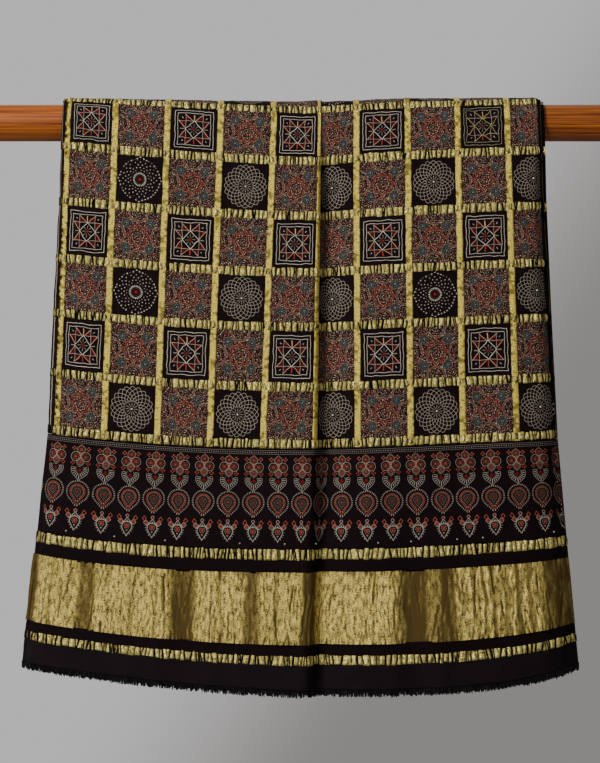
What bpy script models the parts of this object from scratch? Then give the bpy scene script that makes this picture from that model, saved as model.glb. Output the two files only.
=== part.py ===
"""A block-printed patchwork shawl, folded lengthwise and hung over a round wooden rod.

Metres, +Z up. The origin is the centre of the rod's left end face and the rod lies
along +X. The shown side of the cloth faces -Y and its other end hangs behind the rod.

A point of the cloth is found from two numbers:
  flat  distance across the cloth, from the middle of its first gold tape
  drop  distance down the front, from the level of the rod's axis
The cloth is one width. Its left side turns behind the front in a flap, and its right
side goes back and forth once, so that its last edge shows just past the front's fold.
"""
import bisect
import math
import random

import bmesh
import bpy
import numpy as np
from mathutils import Matrix, Vector

# The rod.
ROD_LENGTH = 0.750
ROD_RADIUS = 0.0185
ROD_EDGE = 0.0015
ROD_SIDES = 64

# The cloth and what is sewn to it.
CLOTH_THICKNESS = 0.0011
RUCHED_THICKNESS = 0.0020
FRINGE_THICKNESS = 0.0010
ROD_CLEARANCE = 0.0020
SEAM_GAP = 0.0004
FIELD_DROP = 0.3278
BACK_DROP = 0.520
FRINGE_STRIP = 0.0018

# Bands sewn below the patchwork field, from the top down, and the rows of faces in each.
BANDS = (
    # node, height, thickness, rows, material
    ("print_border", 0.0988, CLOTH_THICKNESS, 2, "printed_black_silk"),
    ("upper_ruched_strip", 0.0107, RUCHED_THICKNESS, 1, "gold_ribbon"),
    ("upper_black_band", 0.0118, CLOTH_THICKNESS, 1, "black_silk"),
    ("tissue_band", 0.0712, CLOTH_THICKNESS, 2, "gold_tissue"),
    ("lower_black_band", 0.0106, CLOTH_THICKNESS, 1, "black_silk"),
    ("lower_ruched_strip", 0.0097, RUCHED_THICKNESS, 1, "gold_ribbon"),
    ("hem_band", 0.0247, CLOTH_THICKNESS, 1, "black_silk"),
)
HEM_DROP = FIELD_DROP + sum(band[1] for band in BANDS)

# The shown front in section, in millimetres, from the left fold to the right fold. x is
# measured from the rod's middle, at the rod, at the field's lower seam and at the hem;
# out is the height above the innermost layer on the rod; y is the depth at the seam and
# at the hem; sunk is how far the crease or the turning edge lies behind the panels.
FRONT = (
    # flat,  x_rod, x_seam,  x_hem,  out, y_seam, y_hem, sunk
    (-9.0, -236.5, -249.0, -275.5, 2.6, -28.0, -27.0, 10.0),
    (0.0, -231.5, -242.5, -268.0, 3.4, -30.0, -32.0, 4.0),
    (24.0, -208.0, -219.5, -242.5, 3.2, -31.5, -37.0, 0.5),
    (47.5, -184.0, -195.0, -214.0, 2.8, -33.5, -41.0, 0.0),
    (100.5, -132.0, -142.0, -155.5, 2.2, -37.0, -50.0, 0.0),
    (154.0, -79.0, -89.5, -97.5, 0.8, -41.0, -57.0, 0.0),
    (207.5, -26.0, -36.5, -39.0, 0.2, -44.0, -62.0, 0.0),
    (240.0, 3.0, -4.5, -8.0, 0.2, -46.0, -65.0, 0.0),
    (258.0, 18.5, 12.5, 6.0, 1.4, -46.5, -66.0, 0.5),
    (268.0, 21.5, 19.0, 12.0, 0.8, -46.0, -65.0, 8.0),
    (277.0, 24.0, 24.5, 17.0, 0.1, -45.0, -64.0, 14.0),
    (292.0, 37.0, 38.0, 33.0, 0.3, -44.0, -62.0, 8.0),
    (313.5, 56.5, 57.5, 61.0, 1.0, -43.0, -60.0, 1.5),
    (366.0, 107.5, 110.0, 118.5, 3.4, -41.5, -58.0, 0.0),
    (418.0, 157.5, 162.0, 175.0, 3.4, -38.0, -52.0, 0.0),
    (470.0, 207.0, 215.5, 232.5, 3.6, -35.0, -44.0, 0.0),
    (496.5, 231.5, 240.5, 259.5, 3.7, -33.5, -38.0, 4.5),
    (506.0, 236.0, 249.0, 269.5, 3.6, -33.0, -34.0, 10.0),
    (514.0, 239.0, 253.5, 276.0, 3.0, -32.0, -31.0, 15.0),
)
FLAT, X_ROD, X_SEAM, X_HEM, OUT, Y_SEAM, Y_HEM, SUNK = range(8)

# The layers behind the front. The pleat's inner fold, from the rod's middle, and how far
# the last edge shows past the front's fold are given at the rod, the seam and the hem.
FOLD_TURN = 0.008
FLAP_DEPTH = 0.096
PLEAT_DEPTH = 0.142
PLEAT_INNER_X = (0.098, 0.110, 0.128)
LAST_EDGE_SHOWS = (0.0045, 0.0050, 0.0040)
LAYER_SPACING_ROD = 0.0016
LAYER_SPACING_FRONT = 0.0070
LAYER_SPACING_BACK = 0.0040
SINK_LENGTH = 0.090
SPREAD_LENGTH = 0.250
BACK_SWING = 0.008

# How far the sides of the cloth are drawn up above its middle, and how the rise grows
# towards each side (1 is straight, more is later).
RISE = (
    # drop, left rise, left growth, right rise, right growth
    (0.0000, 0.0000, 1.4, 0.0000, 0.7),
    (FIELD_DROP, 0.0165, 2.2, 0.0113, 0.9),
    (0.4500, 0.0170, 2.6, 0.0135, 1.6),
    (HEM_DROP, 0.0235, 1.7, 0.0205, 3.2),
)
MIDDLE_X = 0.018

# Soft vertical troughs of the lower cloth: place across it, half width, depth at the hem.
TROUGHS = (
    (0.137, 0.026, 0.0030),
    (0.362, 0.026, 0.0040),
)
TROUGH_START = 0.300

# Slow waves of the end behind the rod: place from the rod's middle, half width, depth.
BACK_WAVES = (
    (-0.130, 0.090, 0.009),
    (0.050, 0.075, -0.007),
    (0.190, 0.070, 0.005),
)

# The frayed edge.
STRAND_PITCH = 0.0038
STRAND_WIDTH = 0.0016
STRAND_LENGTHS = (0.0036, 0.0068)
STRAND_LEAN = 0.0012
STRAND_SEED = 21
# A last strand fits where this share of a pitch is left over.
LAST_STRAND_SHARE = 0.7

# The fineness of the cloth's mesh, and of the search for a place at a given x.
LONGEST_STEP = 0.030
TURN_STEPS = 4
WRAP_STEPS = 12
FRONT_STEPS = 6
BACK_STEPS = 4
HALVINGS = 30

# name: colour, roughness, metallic
MATERIALS = {
    "polished_wood": ((0.42, 0.17, 0.055, 1.0), 0.35, 0.0),
    "patchwork_silk": ((0.16, 0.09, 0.06, 1.0), 0.75, 0.0),
    "printed_black_silk": ((0.018, 0.010, 0.012, 1.0), 0.70, 0.0),
    "black_silk": ((0.010, 0.007, 0.008, 1.0), 0.65, 0.0),
    "gold_ribbon": ((0.62, 0.50, 0.20, 1.0), 0.35, 0.8),
    "gold_tissue": ((0.52, 0.41, 0.17, 1.0), 0.35, 0.8),
    "black_thread": ((0.012, 0.009, 0.010, 1.0), 0.80, 0.0),
}

FRONT_M = [[value * 0.001 for value in row] for row in FRONT]
FRONT_FLATS = [row[FLAT] for row in FRONT_M]
LEFT_FOLD = FRONT_FLATS[0]
RIGHT_FOLD = FRONT_FLATS[-1]
FLAP_EDGE = LEFT_FOLD - FOLD_TURN - FLAP_DEPTH
PLEAT_FOLD = RIGHT_FOLD + FOLD_TURN + PLEAT_DEPTH
PLEAT_TURNED = PLEAT_FOLD + FOLD_TURN
LAST_EDGE = PLEAT_TURNED + PLEAT_DEPTH
INNER_RADIUS = ROD_RADIUS + ROD_CLEARANCE + CLOTH_THICKNESS / 2


def clear_scene():
    for thing in list(bpy.data.objects):
        bpy.data.objects.remove(thing, do_unlink=True)


def material(name):
    colour, roughness, metallic = MATERIALS[name]
    found = bpy.data.materials.get(name)
    if found:
        return found
    made = bpy.data.materials.new(name)
    made.use_nodes = True
    shader = made.node_tree.nodes["Principled BSDF"]
    shader.inputs["Base Color"].default_value = colour
    shader.inputs["Roughness"].default_value = roughness
    shader.inputs["Metallic"].default_value = metallic
    made.diffuse_color = colour
    return made


def add_object(name, shape, material_name, smooth_degrees=None):
    mesh = bpy.data.meshes.new(name)
    shape.to_mesh(mesh)
    shape.free()
    mesh.materials.append(material(material_name))
    if smooth_degrees is not None:
        mesh.shade_smooth()
        mesh.set_sharp_from_angle(angle=math.radians(smooth_degrees))
    made = bpy.data.objects.new(name, mesh)
    bpy.context.collection.objects.link(made)
    return made


def eased(value):
    """0 to 1 with a soft start and a soft end."""
    value = min(1.0, max(0.0, value))
    return value * value * (3 - 2 * value)


def curve_through(places, values, at):
    """A smooth curve through values that stand at places, read at one place."""
    at = min(places[-1], max(places[0], at))
    i = min(len(places) - 2, max(0, bisect.bisect_right(places, at) - 1))
    span = places[i + 1] - places[i]
    t = (at - places[i]) / span

    def slope(k):
        low = max(0, k - 1)
        high = min(len(places) - 1, k + 1)
        return (values[high] - values[low]) / (places[high] - places[low]) * span

    start, end = values[i], values[i + 1]
    return (
        start * (1 + 2 * t) * (1 - t) ** 2
        + slope(i) * t * (1 - t) ** 2
        + end * t * t * (3 - 2 * t)
        - slope(i + 1) * t * t * (1 - t)
    )


def at_level(drop, rod, seam, hem):
    """A value between the rod, the field's lower seam and the hem."""
    return float(np.interp(drop, (0.0, FIELD_DROP, HEM_DROP), (rod, seam, hem)))


def front_column(column, flat):
    return curve_through(FRONT_FLATS, [row[column] for row in FRONT_M], flat)


def front_x(flat, drop):
    return at_level(
        drop,
        front_column(X_ROD, flat),
        front_column(X_SEAM, flat),
        front_column(X_HEM, flat),
    )


def flat_at_x(x, drop):
    """The place across the front that stands at x, found by halving."""
    low, high = LEFT_FOLD, RIGHT_FOLD
    for _ in range(HALVINGS):
        middle = (low + high) / 2
        if front_x(middle, drop) < x:
            low = middle
        else:
            high = middle
    return (low + high) / 2


def waves(table, place):
    """The depth of the soft troughs in a table, at one place across them."""
    depth = 0.0
    for middle, half_width, deepest in table:
        away = min(1.0, abs(place - middle) / half_width)
        depth += deepest * (1 + math.cos(math.pi * away)) / 2
    return depth


def front_y(flat, drop):
    on_rod = -(INNER_RADIUS + front_column(OUT, flat))
    plain = at_level(drop, on_rod, front_column(Y_SEAM, flat), front_column(Y_HEM, flat))
    sunk = front_column(SUNK, flat) * eased(drop / SINK_LENGTH)
    grown = eased((drop - TROUGH_START) / (HEM_DROP - TROUGH_START))
    return plain + sunk + waves(TROUGHS, flat) * grown


def layer_spacing(drop, hung):
    return LAYER_SPACING_ROD + (hung - LAYER_SPACING_ROD) * eased(drop / SPREAD_LENGTH)


def section_x(flat, drop):
    """Where a place across the cloth lies left to right, and how many layers back."""
    bulge = layer_spacing(drop, LAYER_SPACING_FRONT) / 2
    left = front_x(LEFT_FOLD, drop)
    right = front_x(RIGHT_FOLD, drop)
    inner = at_level(drop, *PLEAT_INNER_X)
    last = right + at_level(drop, *LAST_EDGE_SHOWS)
    if flat < LEFT_FOLD:
        behind = LEFT_FOLD - flat
        if behind < FOLD_TURN:
            turn = math.pi * behind / FOLD_TURN
            return left - bulge * math.sin(turn), (1 - math.cos(turn)) / 2
        return left + behind - FOLD_TURN, 1.0
    if flat <= RIGHT_FOLD:
        return front_x(flat, drop), 0.0
    if flat < RIGHT_FOLD + FOLD_TURN:
        turn = math.pi * (flat - RIGHT_FOLD) / FOLD_TURN
        return right + bulge * math.sin(turn), (1 - math.cos(turn)) / 2
    if flat <= PLEAT_FOLD:
        share = (flat - RIGHT_FOLD - FOLD_TURN) / PLEAT_DEPTH
        return right + (inner - right) * share, 1.0
    if flat < PLEAT_TURNED:
        turn = math.pi * (flat - PLEAT_FOLD) / FOLD_TURN
        return inner - bulge * math.sin(turn), 1 + (1 - math.cos(turn)) / 2
    share = (flat - PLEAT_TURNED) / PLEAT_DEPTH
    return inner + (last - inner) * share, 2.0


def rise_at(x, drop):
    """How far the cloth is drawn up at x, above the middle of the front."""
    drops, left, left_growth, right, right_growth = zip(*RISE)
    if x < MIDDLE_X:
        reach, rise, growth = front_x(LEFT_FOLD, drop) - MIDDLE_X, left, left_growth
    else:
        reach, rise, growth = front_x(RIGHT_FOLD, drop) - MIDDLE_X, right, right_growth
    share = min(1.0, (x - MIDDLE_X) / reach)
    return np.interp(drop, drops, rise) * share ** np.interp(drop, drops, growth)


def front_point(flat, drop):
    """A point of the cloth below the rod's axis, on the shown side."""
    x, layer = section_x(flat, drop)
    on_front = flat if layer == 0.0 else flat_at_x(x, drop)
    y = front_y(on_front, drop) + layer * layer_spacing(drop, LAYER_SPACING_FRONT)
    return Vector((x + ROD_LENGTH / 2, y, rise_at(x, drop) - drop))


def wrap_radius(flat):
    x, layer = section_x(flat, 0.0)
    on_front = flat if layer == 0.0 else flat_at_x(x, 0.0)
    return INNER_RADIUS + front_column(OUT, on_front) - layer * LAYER_SPACING_ROD


def wrap_point(flat, turn):
    """A point of the cloth over the rod: turn 0 is its front side, pi its back."""
    x, _ = section_x(flat, 0.0)
    radius = wrap_radius(flat)
    return Vector((x + ROD_LENGTH / 2, -radius * math.cos(turn), radius * math.sin(turn)))


def back_point(flat, drop):
    """A point of the end that hangs straight down behind the rod."""
    x, layer = section_x(flat, 0.0)
    spread = layer_spacing(drop, LAYER_SPACING_BACK) - LAYER_SPACING_ROD
    swing = (BACK_SWING + waves(BACK_WAVES, x)) * eased(drop / BACK_DROP)
    y = wrap_radius(flat) - layer * spread + swing
    return Vector((x + ROD_LENGTH / 2, y, -drop))


def cloth_columns():
    """Places across the cloth where its mesh has an edge, none too far apart."""
    marks = [FLAP_EDGE]
    marks += steps_between(LEFT_FOLD - FOLD_TURN, LEFT_FOLD, TURN_STEPS)[:-1]
    marks += FRONT_FLATS
    marks += steps_between(RIGHT_FOLD, RIGHT_FOLD + FOLD_TURN, TURN_STEPS)[1:]
    marks += steps_between(PLEAT_FOLD, PLEAT_TURNED, TURN_STEPS)
    marks += [LAST_EDGE]
    columns = [marks[0]]
    for low, high in zip(marks, marks[1:]):
        steps = math.ceil((high - low) / LONGEST_STEP)
        columns += steps_between(low, high, steps)[1:]
    return columns


def steps_between(start, end, steps):
    return [start + (end - start) * step / steps for step in range(steps + 1)]


def face_normals(grid):
    """The direction square to the cloth at each point of a grid of points."""
    normals = []
    for i, row in enumerate(grid):
        above = grid[max(0, i - 1)]
        below = grid[min(len(grid) - 1, i + 1)]
        line = []
        for j in range(len(row)):
            across = row[min(len(row) - 1, j + 1)] - row[max(0, j - 1)]
            line.append(across.cross(above[j] - below[j]).normalized())
        normals.append(line)
    return normals


def thick_sheet(grid, thickness):
    """A closed sheet of even thickness about a grid of points."""
    shape = bmesh.new()
    normals = face_normals(grid)
    sides = []
    for side in (0.5, -0.5):
        lines = []
        for row, row_normals in zip(grid, normals):
            points = zip(row, row_normals)
            lines.append([shape.verts.new(p + n * thickness * side) for p, n in points])
        sides.append(lines)
    shown, hidden = sides
    rows = len(grid)
    columns = len(grid[0])
    for i in range(rows - 1):
        for j in range(columns - 1):
            for side in sides:
                corners = (side[i][j], side[i][j + 1], side[i + 1][j + 1], side[i + 1][j])
                shape.faces.new(corners)
    for i in (0, rows - 1):
        for j in range(columns - 1):
            shape.faces.new((shown[i][j], shown[i][j + 1], hidden[i][j + 1], hidden[i][j]))
    for j in (0, columns - 1):
        for i in range(rows - 1):
            shape.faces.new((shown[i][j], shown[i + 1][j], hidden[i + 1][j], hidden[i][j]))
    bmesh.ops.recalc_face_normals(shape, faces=shape.faces)
    return shape


def make_rod():
    shape = bmesh.new()
    lying = Matrix.Translation((ROD_LENGTH / 2, 0, 0)) @ Matrix.Rotation(math.pi / 2, 4, "Y")
    bmesh.ops.create_cone(
        shape, cap_ends=True, segments=ROD_SIDES,
        radius1=ROD_RADIUS, radius2=ROD_RADIUS, depth=ROD_LENGTH, matrix=lying,
    )
    caps = [face for face in shape.faces if len(face.verts) > 4]
    rims = {edge for cap in caps for edge in cap.edges}
    bmesh.ops.bevel(
        shape, geom=list(rims), offset=ROD_EDGE, segments=1, affect="EDGES",
    )
    return add_object("rod", shape, "polished_wood", 40)


def make_field(columns):
    """The patchwork from its lower front seam, over the rod, to its back edge."""
    grid = []
    for drop in steps_between(BACK_DROP, 0.0, BACK_STEPS)[:-1]:
        grid.append([back_point(flat, drop) for flat in columns])
    for turn in steps_between(math.pi, 0.0, WRAP_STEPS):
        grid.append([wrap_point(flat, turn) for flat in columns])
    for drop in steps_between(0.0, FIELD_DROP - SEAM_GAP / 2, FRONT_STEPS)[1:]:
        grid.append([front_point(flat, drop) for flat in columns])
    return add_object(
        "patchwork_field", thick_sheet(grid, CLOTH_THICKNESS), "patchwork_silk", 50,
    )


def make_bands(columns):
    top = FIELD_DROP
    for name, height, thickness, rows, material_name in BANDS:
        first = top + SEAM_GAP / 2
        last = top + height - SEAM_GAP / 2
        drops = steps_between(first, last, rows)
        grid = [[front_point(flat, drop) for flat in columns] for drop in drops]
        add_object(name, thick_sheet(grid, thickness), material_name, 50)
        top += height


def strand_marks(low, high):
    """Left and right edges of the strands that fit between two columns, as shares."""
    count = int((high - low) / STRAND_PITCH + 1 - LAST_STRAND_SHARE)
    half = STRAND_WIDTH / 2 / (high - low)
    middles = [(strand + 0.5) / count for strand in range(count)]
    return [(middle - half, middle + half) for middle in middles]


def make_fringe(columns):
    """A narrow strip below the hem with frayed strands standing out of it, apart."""
    chance = random.Random(STRAND_SEED)
    shape = bmesh.new()
    top_drop = HEM_DROP + SEAM_GAP / 2
    drops = (top_drop, top_drop + FRINGE_STRIP)
    grid = [[front_point(flat, drop) for flat in columns] for drop in drops]
    normals = face_normals(grid)
    corners = {}
    for side in (0.5, -0.5):
        for i in (0, 1):
            for j in range(len(columns)):
                place = grid[i][j] + normals[i][j] * FRINGE_THICKNESS * side
                corners[side, i, j] = shape.verts.new(place)
    for j in range(len(columns) - 1):
        marks = strand_marks(columns[j], columns[j + 1])
        shares = [share for pair in marks for share in pair]
        lower = {}
        for side in (0.5, -0.5):
            start, end = corners[side, 1, j], corners[side, 1, j + 1]
            between = [shape.verts.new(start.co.lerp(end.co, share)) for share in shares]
            lower[side] = [start] + between + [end]
            upper_start, upper_end = corners[side, 0, j], corners[side, 0, j + 1]
            middle = len(lower[side]) // 2
            for k in range(len(lower[side]) - 1):
                upper = upper_start if k < middle else upper_end
                shape.faces.new((upper, lower[side][k], lower[side][k + 1]))
            shape.faces.new((upper_start, lower[side][middle], upper_end))
        shape.faces.new([corners[side, 0, k] for side, k in (
            (0.5, j), (0.5, j + 1), (-0.5, j + 1), (-0.5, j))])
        for k in range(len(lower[0.5]) - 1):
            base = (lower[0.5][k], lower[0.5][k + 1], lower[-0.5][k + 1], lower[-0.5][k])
            if k % 2 == 0:
                shape.faces.new(base)
                continue
            tip = sum((vertex.co for vertex in base), Vector()) / 4
            tip.x += chance.uniform(-STRAND_LEAN, STRAND_LEAN)
            tip.y += chance.uniform(-STRAND_LEAN, STRAND_LEAN) / 2
            tip.z -= chance.uniform(*STRAND_LENGTHS)
            point = shape.verts.new(tip)
            for a, b in zip(base, base[1:] + base[:1]):
                shape.faces.new((a, b, point))
    for j in (0, len(columns) - 1):
        shape.faces.new([corners[key] for key in (
            (0.5, 0, j), (0.5, 1, j), (-0.5, 1, j), (-0.5, 0, j))])
    bmesh.ops.recalc_face_normals(shape, faces=shape.faces)
    return add_object("fringe", shape, "black_thread")


def main():
    clear_scene()
    columns = cloth_columns()
    make_rod()
    make_field(columns)
    make_bands(columns)
    make_fringe(columns)


main()
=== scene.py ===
"""An ajrakh patchwork shawl, folded lengthwise and hung over a round wooden rod.

Metres, +Z up. The rod lies along +X from the origin and the shown side faces -Y.
Places on the cloth are two numbers: flat, the way across it from the middle of its
first gold tape, and along, the way down the front from the level of the rod's axis.
Along is negative over the rod and on down the end behind. Prints read millimetres.
"""
import math
import random

import bpy
import bmesh
import numpy as np
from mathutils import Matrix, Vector


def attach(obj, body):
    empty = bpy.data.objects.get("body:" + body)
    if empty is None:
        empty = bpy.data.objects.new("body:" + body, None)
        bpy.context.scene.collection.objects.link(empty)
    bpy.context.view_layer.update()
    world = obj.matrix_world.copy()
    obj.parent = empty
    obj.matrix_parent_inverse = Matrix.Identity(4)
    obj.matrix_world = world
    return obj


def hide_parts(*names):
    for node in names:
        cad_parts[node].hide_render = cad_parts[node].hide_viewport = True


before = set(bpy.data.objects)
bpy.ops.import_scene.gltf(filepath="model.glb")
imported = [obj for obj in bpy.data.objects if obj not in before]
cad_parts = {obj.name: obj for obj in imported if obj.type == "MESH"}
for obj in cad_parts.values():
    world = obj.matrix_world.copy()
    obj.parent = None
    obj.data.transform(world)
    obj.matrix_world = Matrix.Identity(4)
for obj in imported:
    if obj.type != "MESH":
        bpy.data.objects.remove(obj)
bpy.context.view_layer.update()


# ---- Camera, light and ground ---------------------------------------------------------
# A long lens stands level with the middle of the cloth and square to it. A large soft
# lamp hangs at the upper left, with a weak one to the right and one behind. The floor is
# plain and pale, well below the cloth.
CLOTH_MIDDLE_X = 0.375
CAMERA_PLACE = (CLOTH_MIDDLE_X, -2.222, -0.261)
CAMERA_SENSOR_MM = 36.0
CLOTH_DISTANCE = 2.2
VIEW_HEIGHT = 0.763
LAMPS = (
    # name, place, aims at, size, watts, colour
    ("key", (-1.25, -1.9, 1.15), (0.36, 0.0, -0.28), 1.1, 86.0, "#FFFFFF"),
    ("fill", (2.2, -1.7, 0.1), (0.40, 0.0, -0.30), 1.6, 9.0, "#F4F6FF"),
    ("behind", (0.2, 2.1, 0.9), (0.38, 0.0, -0.25), 1.5, 7.0, "#FFFFFF"),
)
FLOOR_LEVEL = -1.80
FLOOR_HALF = 3.0


def linear(hex_colour):
    """A linear colour from an sRGB hex value."""
    parts = [int(hex_colour[i:i + 2], 16) / 255 for i in (1, 3, 5)]
    return [p / 12.92 if p <= 0.04045 else ((p + 0.055) / 1.055) ** 2.4 for p in parts] + [1.0]


def fill(node, inputs):
    """Gives a node's inputs, in order or by name, values, hex colours, sockets or nodes."""
    for key, value in inputs.items() if isinstance(inputs, dict) else enumerate(inputs):
        if isinstance(value, bpy.types.Node):
            value = next(socket for socket in value.outputs if socket.enabled)
        if isinstance(value, bpy.types.NodeSocket):
            node.id_data.links.new(value, node.inputs[key])
        elif isinstance(value, str) and value.startswith("#"):
            node.inputs[key].default_value = linear(value)
        else:
            node.inputs[key].default_value = value


def add(tree, kind, inputs=(), **settings):
    """One node with its settings and its inputs."""
    node = tree.nodes.new(kind)
    for name, value in settings.items():
        setattr(node, name, value)
    fill(node, inputs)
    return node


def tree_of(*values):
    """The node tree that the first node or socket among some values stands in."""
    kinds = (bpy.types.Node, bpy.types.NodeSocket)
    return next(value.id_data for value in values if isinstance(value, kinds))


def maths(operation, *values):
    """One sum of numbers."""
    return add(tree_of(*values), "ShaderNodeMath", values, operation=operation)


def vectors(operation, *values):
    """One sum of vectors, which gives a vector or, for three kinds of sum, a number."""
    node = add(tree_of(*values), "ShaderNodeVectorMath", values, operation=operation)
    number = operation in ("LENGTH", "DISTANCE", "DOT_PRODUCT")
    return node.outputs["Value" if number else "Vector"]


def scaled(vector, by):
    """A vector or colour times a number."""
    inputs = {0: vector, "Scale": by}
    return add(tree_of(vector), "ShaderNodeVectorMath", inputs, operation="SCALE").outputs[0]


def ranged(value, low, high, start=0.0, end=1.0, **settings):
    """A number moved evenly from low and high to start and end, and held between them."""
    return add(tree_of(value), "ShaderNodeMapRange", (value, low, high, start, end), **settings)


def mixed(share, below, above):
    """One colour over another, as strongly as share says."""
    inputs = {0: share, 6: below, 7: above}
    return add(tree_of(*inputs.values()), "ShaderNodeMix", inputs, data_type="RGBA").outputs[2]


def split(vector):
    """The parts of a vector."""
    return add(tree_of(vector), "ShaderNodeSeparateXYZ", (vector,)).outputs


def material(name):
    """A new material and its node tree."""
    made = bpy.data.materials.new(name)
    made.use_nodes = True
    return made, made.node_tree


def linked(name, data):
    """A new object in the scene."""
    made = bpy.data.objects.new(name, data)
    bpy.context.collection.objects.link(made)
    return made


camera = linked("camera", bpy.data.cameras.new("camera"))
camera.data.sensor_width = CAMERA_SENSOR_MM
camera.data.lens = CAMERA_SENSOR_MM * CLOTH_DISTANCE / VIEW_HEIGHT
camera.location = CAMERA_PLACE
camera.rotation_euler = (math.pi / 2, 0, 0)
bpy.context.scene.camera = camera

for name, place, aim, size, watts, colour in LAMPS:
    lamp = bpy.data.lights.new(name, "AREA")
    lamp.size = size
    lamp.energy = watts
    lamp.color = linear(colour)[:3]
    holder = linked(name, lamp)
    holder.location = place
    holder.rotation_euler = (Vector(aim) - Vector(place)).to_track_quat("-Z", "Y").to_euler()

# The air is light grey to the upper left and darker to the lower right, as the photo's
# wall is, where the darker part is a painted shadow of the cloth. It also gives less light
# from below and from the camera's side.
world = bpy.data.worlds.new("studio")
world.use_nodes = True
bpy.context.scene.world = world
direction = add(world.node_tree, "ShaderNodeTexCoord").outputs["Generated"]
leaning = vectors("DOT_PRODUCT", direction, (1.9, 0.0, -1.2))
side = ranged(leaning, -0.02, 0.24, interpolation_type="SMOOTHSTEP")
air = mixed(side, "#CAC8C8", "#8B8886")
_, deep, high = split(direction)
from_below = ranged(high, -0.20, -0.55, 1.0, 0.18)
from_camera = ranged(deep, 0.50, -0.30, 1.0, 0.42)
share = maths("MULTIPLY", from_below, from_camera)
fill(world.node_tree.nodes["Background"], {"Color": scaled(air, share)})

floor = bmesh.new()
bmesh.ops.create_grid(floor, x_segments=1, y_segments=1, size=FLOOR_HALF)
bmesh.ops.translate(floor, verts=floor.verts, vec=(CLOTH_MIDDLE_X, 0, FLOOR_LEVEL))
floor_mesh = bpy.data.meshes.new("floor")
floor.to_mesh(floor_mesh)
floor.free()
floor_object = linked("floor", floor_mesh)
floor_paint, tree = material("pale_matt_paint")
fill(tree.nodes["Principled BSDF"], {"Base Color": "#A9A6A3", "Roughness": 0.9})
floor_mesh.materials.append(floor_paint)


# ---- Rod ------------------------------------------------------------------------------
# A 37 mm round hardwood pole, turned and given a few coats of clear varnish. Its grain
# runs along it in long broken streaks, a little darker in the pores.
GRAIN_WIDTH_MM = 2.0
PORE_WIDTH_MM = 0.9
STREAK_STRETCH = (12.0, 1000.0, 1000.0)


def noise(place, scale, detail, distortion=0.0):
    """Soft random clouds."""
    return add(tree_of(place), "ShaderNodeTexNoise", {
        "Vector": place, "Scale": scale, "Detail": detail, "Distortion": distortion})


def bumped(height, strength, distance):
    """A surface raised by a height."""
    return add(tree_of(height), "ShaderNodeBump", {
        "Strength": strength, "Distance": distance, "Height": height})


def varnished_wood():
    """Warm brown wood under varnish: long streaks, faint flame figure, painted shade to one end.
    """
    made, tree = material("varnished_hardwood")
    place = add(tree, "ShaderNodeTexCoord").outputs["Object"]
    stretched = vectors("MULTIPLY", place, STREAK_STRETCH)
    streak = ranged(noise(stretched, 1 / GRAIN_WIDTH_MM, 4.0, 0.6), 0.34, 0.66)
    pores = noise(stretched, 1 / PORE_WIDTH_MM, 2.0)
    flame = ranged(noise(place, 14.0, 2.0), 0.35, 0.70, 0.0, 0.5)
    wood = mixed(streak, "#7C340C", "#D07828")
    pored = mixed(ranged(pores, 0.36, 0.46, 0.75, 0.0), wood, "#3A1400")
    warm = mixed(flame, pored, "#98501C")
    fill(tree.nodes["Principled BSDF"], {
        # The colour is scaled darker towards the rod's right end: painted shade, where the key
        # lamp's light falls off.
        "Base Color": scaled(warm, ranged(split(place)[0], 0.10, 0.72, 1.0, 0.66)),
        "Roughness": ranged(pores, 0.3, 0.7, 0.55, 0.42),
        "Normal": bumped(pores, 0.25, 0.0002),
        "Coat Weight": 0.06, "Coat Roughness": 0.22, "Specular IOR Level": 0.25})
    return made


rod_wood = varnished_wood()
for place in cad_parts["rod"].material_slots:
    place.material = rod_wood


# ---- Patchwork field ------------------------------------------------------------------
# Squares of block-printed silk, joined by gold tapes down and gathered gold tapes across.
# Ajrakh squares in madder and indigo take turns with black ones, which hold a star in
# frames or a rosette. The sheet hangs over the rod with a flap and a pleat behind.
FIELD_DROP = 0.3278
HEM_DROP = 0.5653
BACK_DROP = 0.520
INNER_RADIUS = 0.0185 + 0.0020 + 0.00055
FRONT = np.array((
    # flat,  x_rod, x_seam,  x_hem,  out, y_seam, y_hem, sunk, all in millimetres
    (-9.0, -236.5, -249.0, -275.5, 2.6, -28.0, -27.0, 10.0),
    (0.0, -231.5, -242.5, -268.0, 3.4, -30.0, -32.0, 4.0),
    (24.0, -208.0, -219.5, -242.5, 3.2, -31.5, -37.0, 0.5),
    (47.5, -184.0, -195.0, -214.0, 2.8, -33.5, -41.0, 0.0),
    (100.5, -132.0, -142.0, -155.5, 2.2, -37.0, -50.0, 0.0),
    (154.0, -79.0, -89.5, -97.5, 0.8, -41.0, -57.0, 0.0),
    (207.5, -26.0, -36.5, -39.0, 0.2, -44.0, -62.0, 0.0),
    (240.0, 3.0, -4.5, -8.0, 0.2, -46.0, -65.0, 0.0),
    (258.0, 18.5, 12.5, 6.0, 1.4, -46.5, -66.0, 0.5),
    (268.0, 21.5, 19.0, 12.0, 0.8, -46.0, -65.0, 8.0),
    (277.0, 24.0, 24.5, 17.0, 0.1, -45.0, -64.0, 14.0),
    (292.0, 37.0, 38.0, 33.0, 0.3, -44.0, -62.0, 8.0),
    (313.5, 56.5, 57.5, 61.0, 1.0, -43.0, -60.0, 1.5),
    (366.0, 107.5, 110.0, 118.5, 3.4, -41.5, -58.0, 0.0),
    (418.0, 157.5, 162.0, 175.0, 3.4, -38.0, -52.0, 0.0),
    (470.0, 207.0, 215.5, 232.5, 3.6, -35.0, -44.0, 0.0),
    (496.5, 231.5, 240.5, 259.5, 3.7, -33.5, -38.0, 4.5),
    (506.0, 236.0, 249.0, 269.5, 3.6, -33.0, -34.0, 10.0),
    (514.0, 239.0, 253.5, 276.0, 3.0, -32.0, -31.0, 15.0),
)) * 0.001
FLAT, X_ROD, X_SEAM, X_HEM, OUT, Y_SEAM, Y_HEM, SUNK = range(8)
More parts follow.
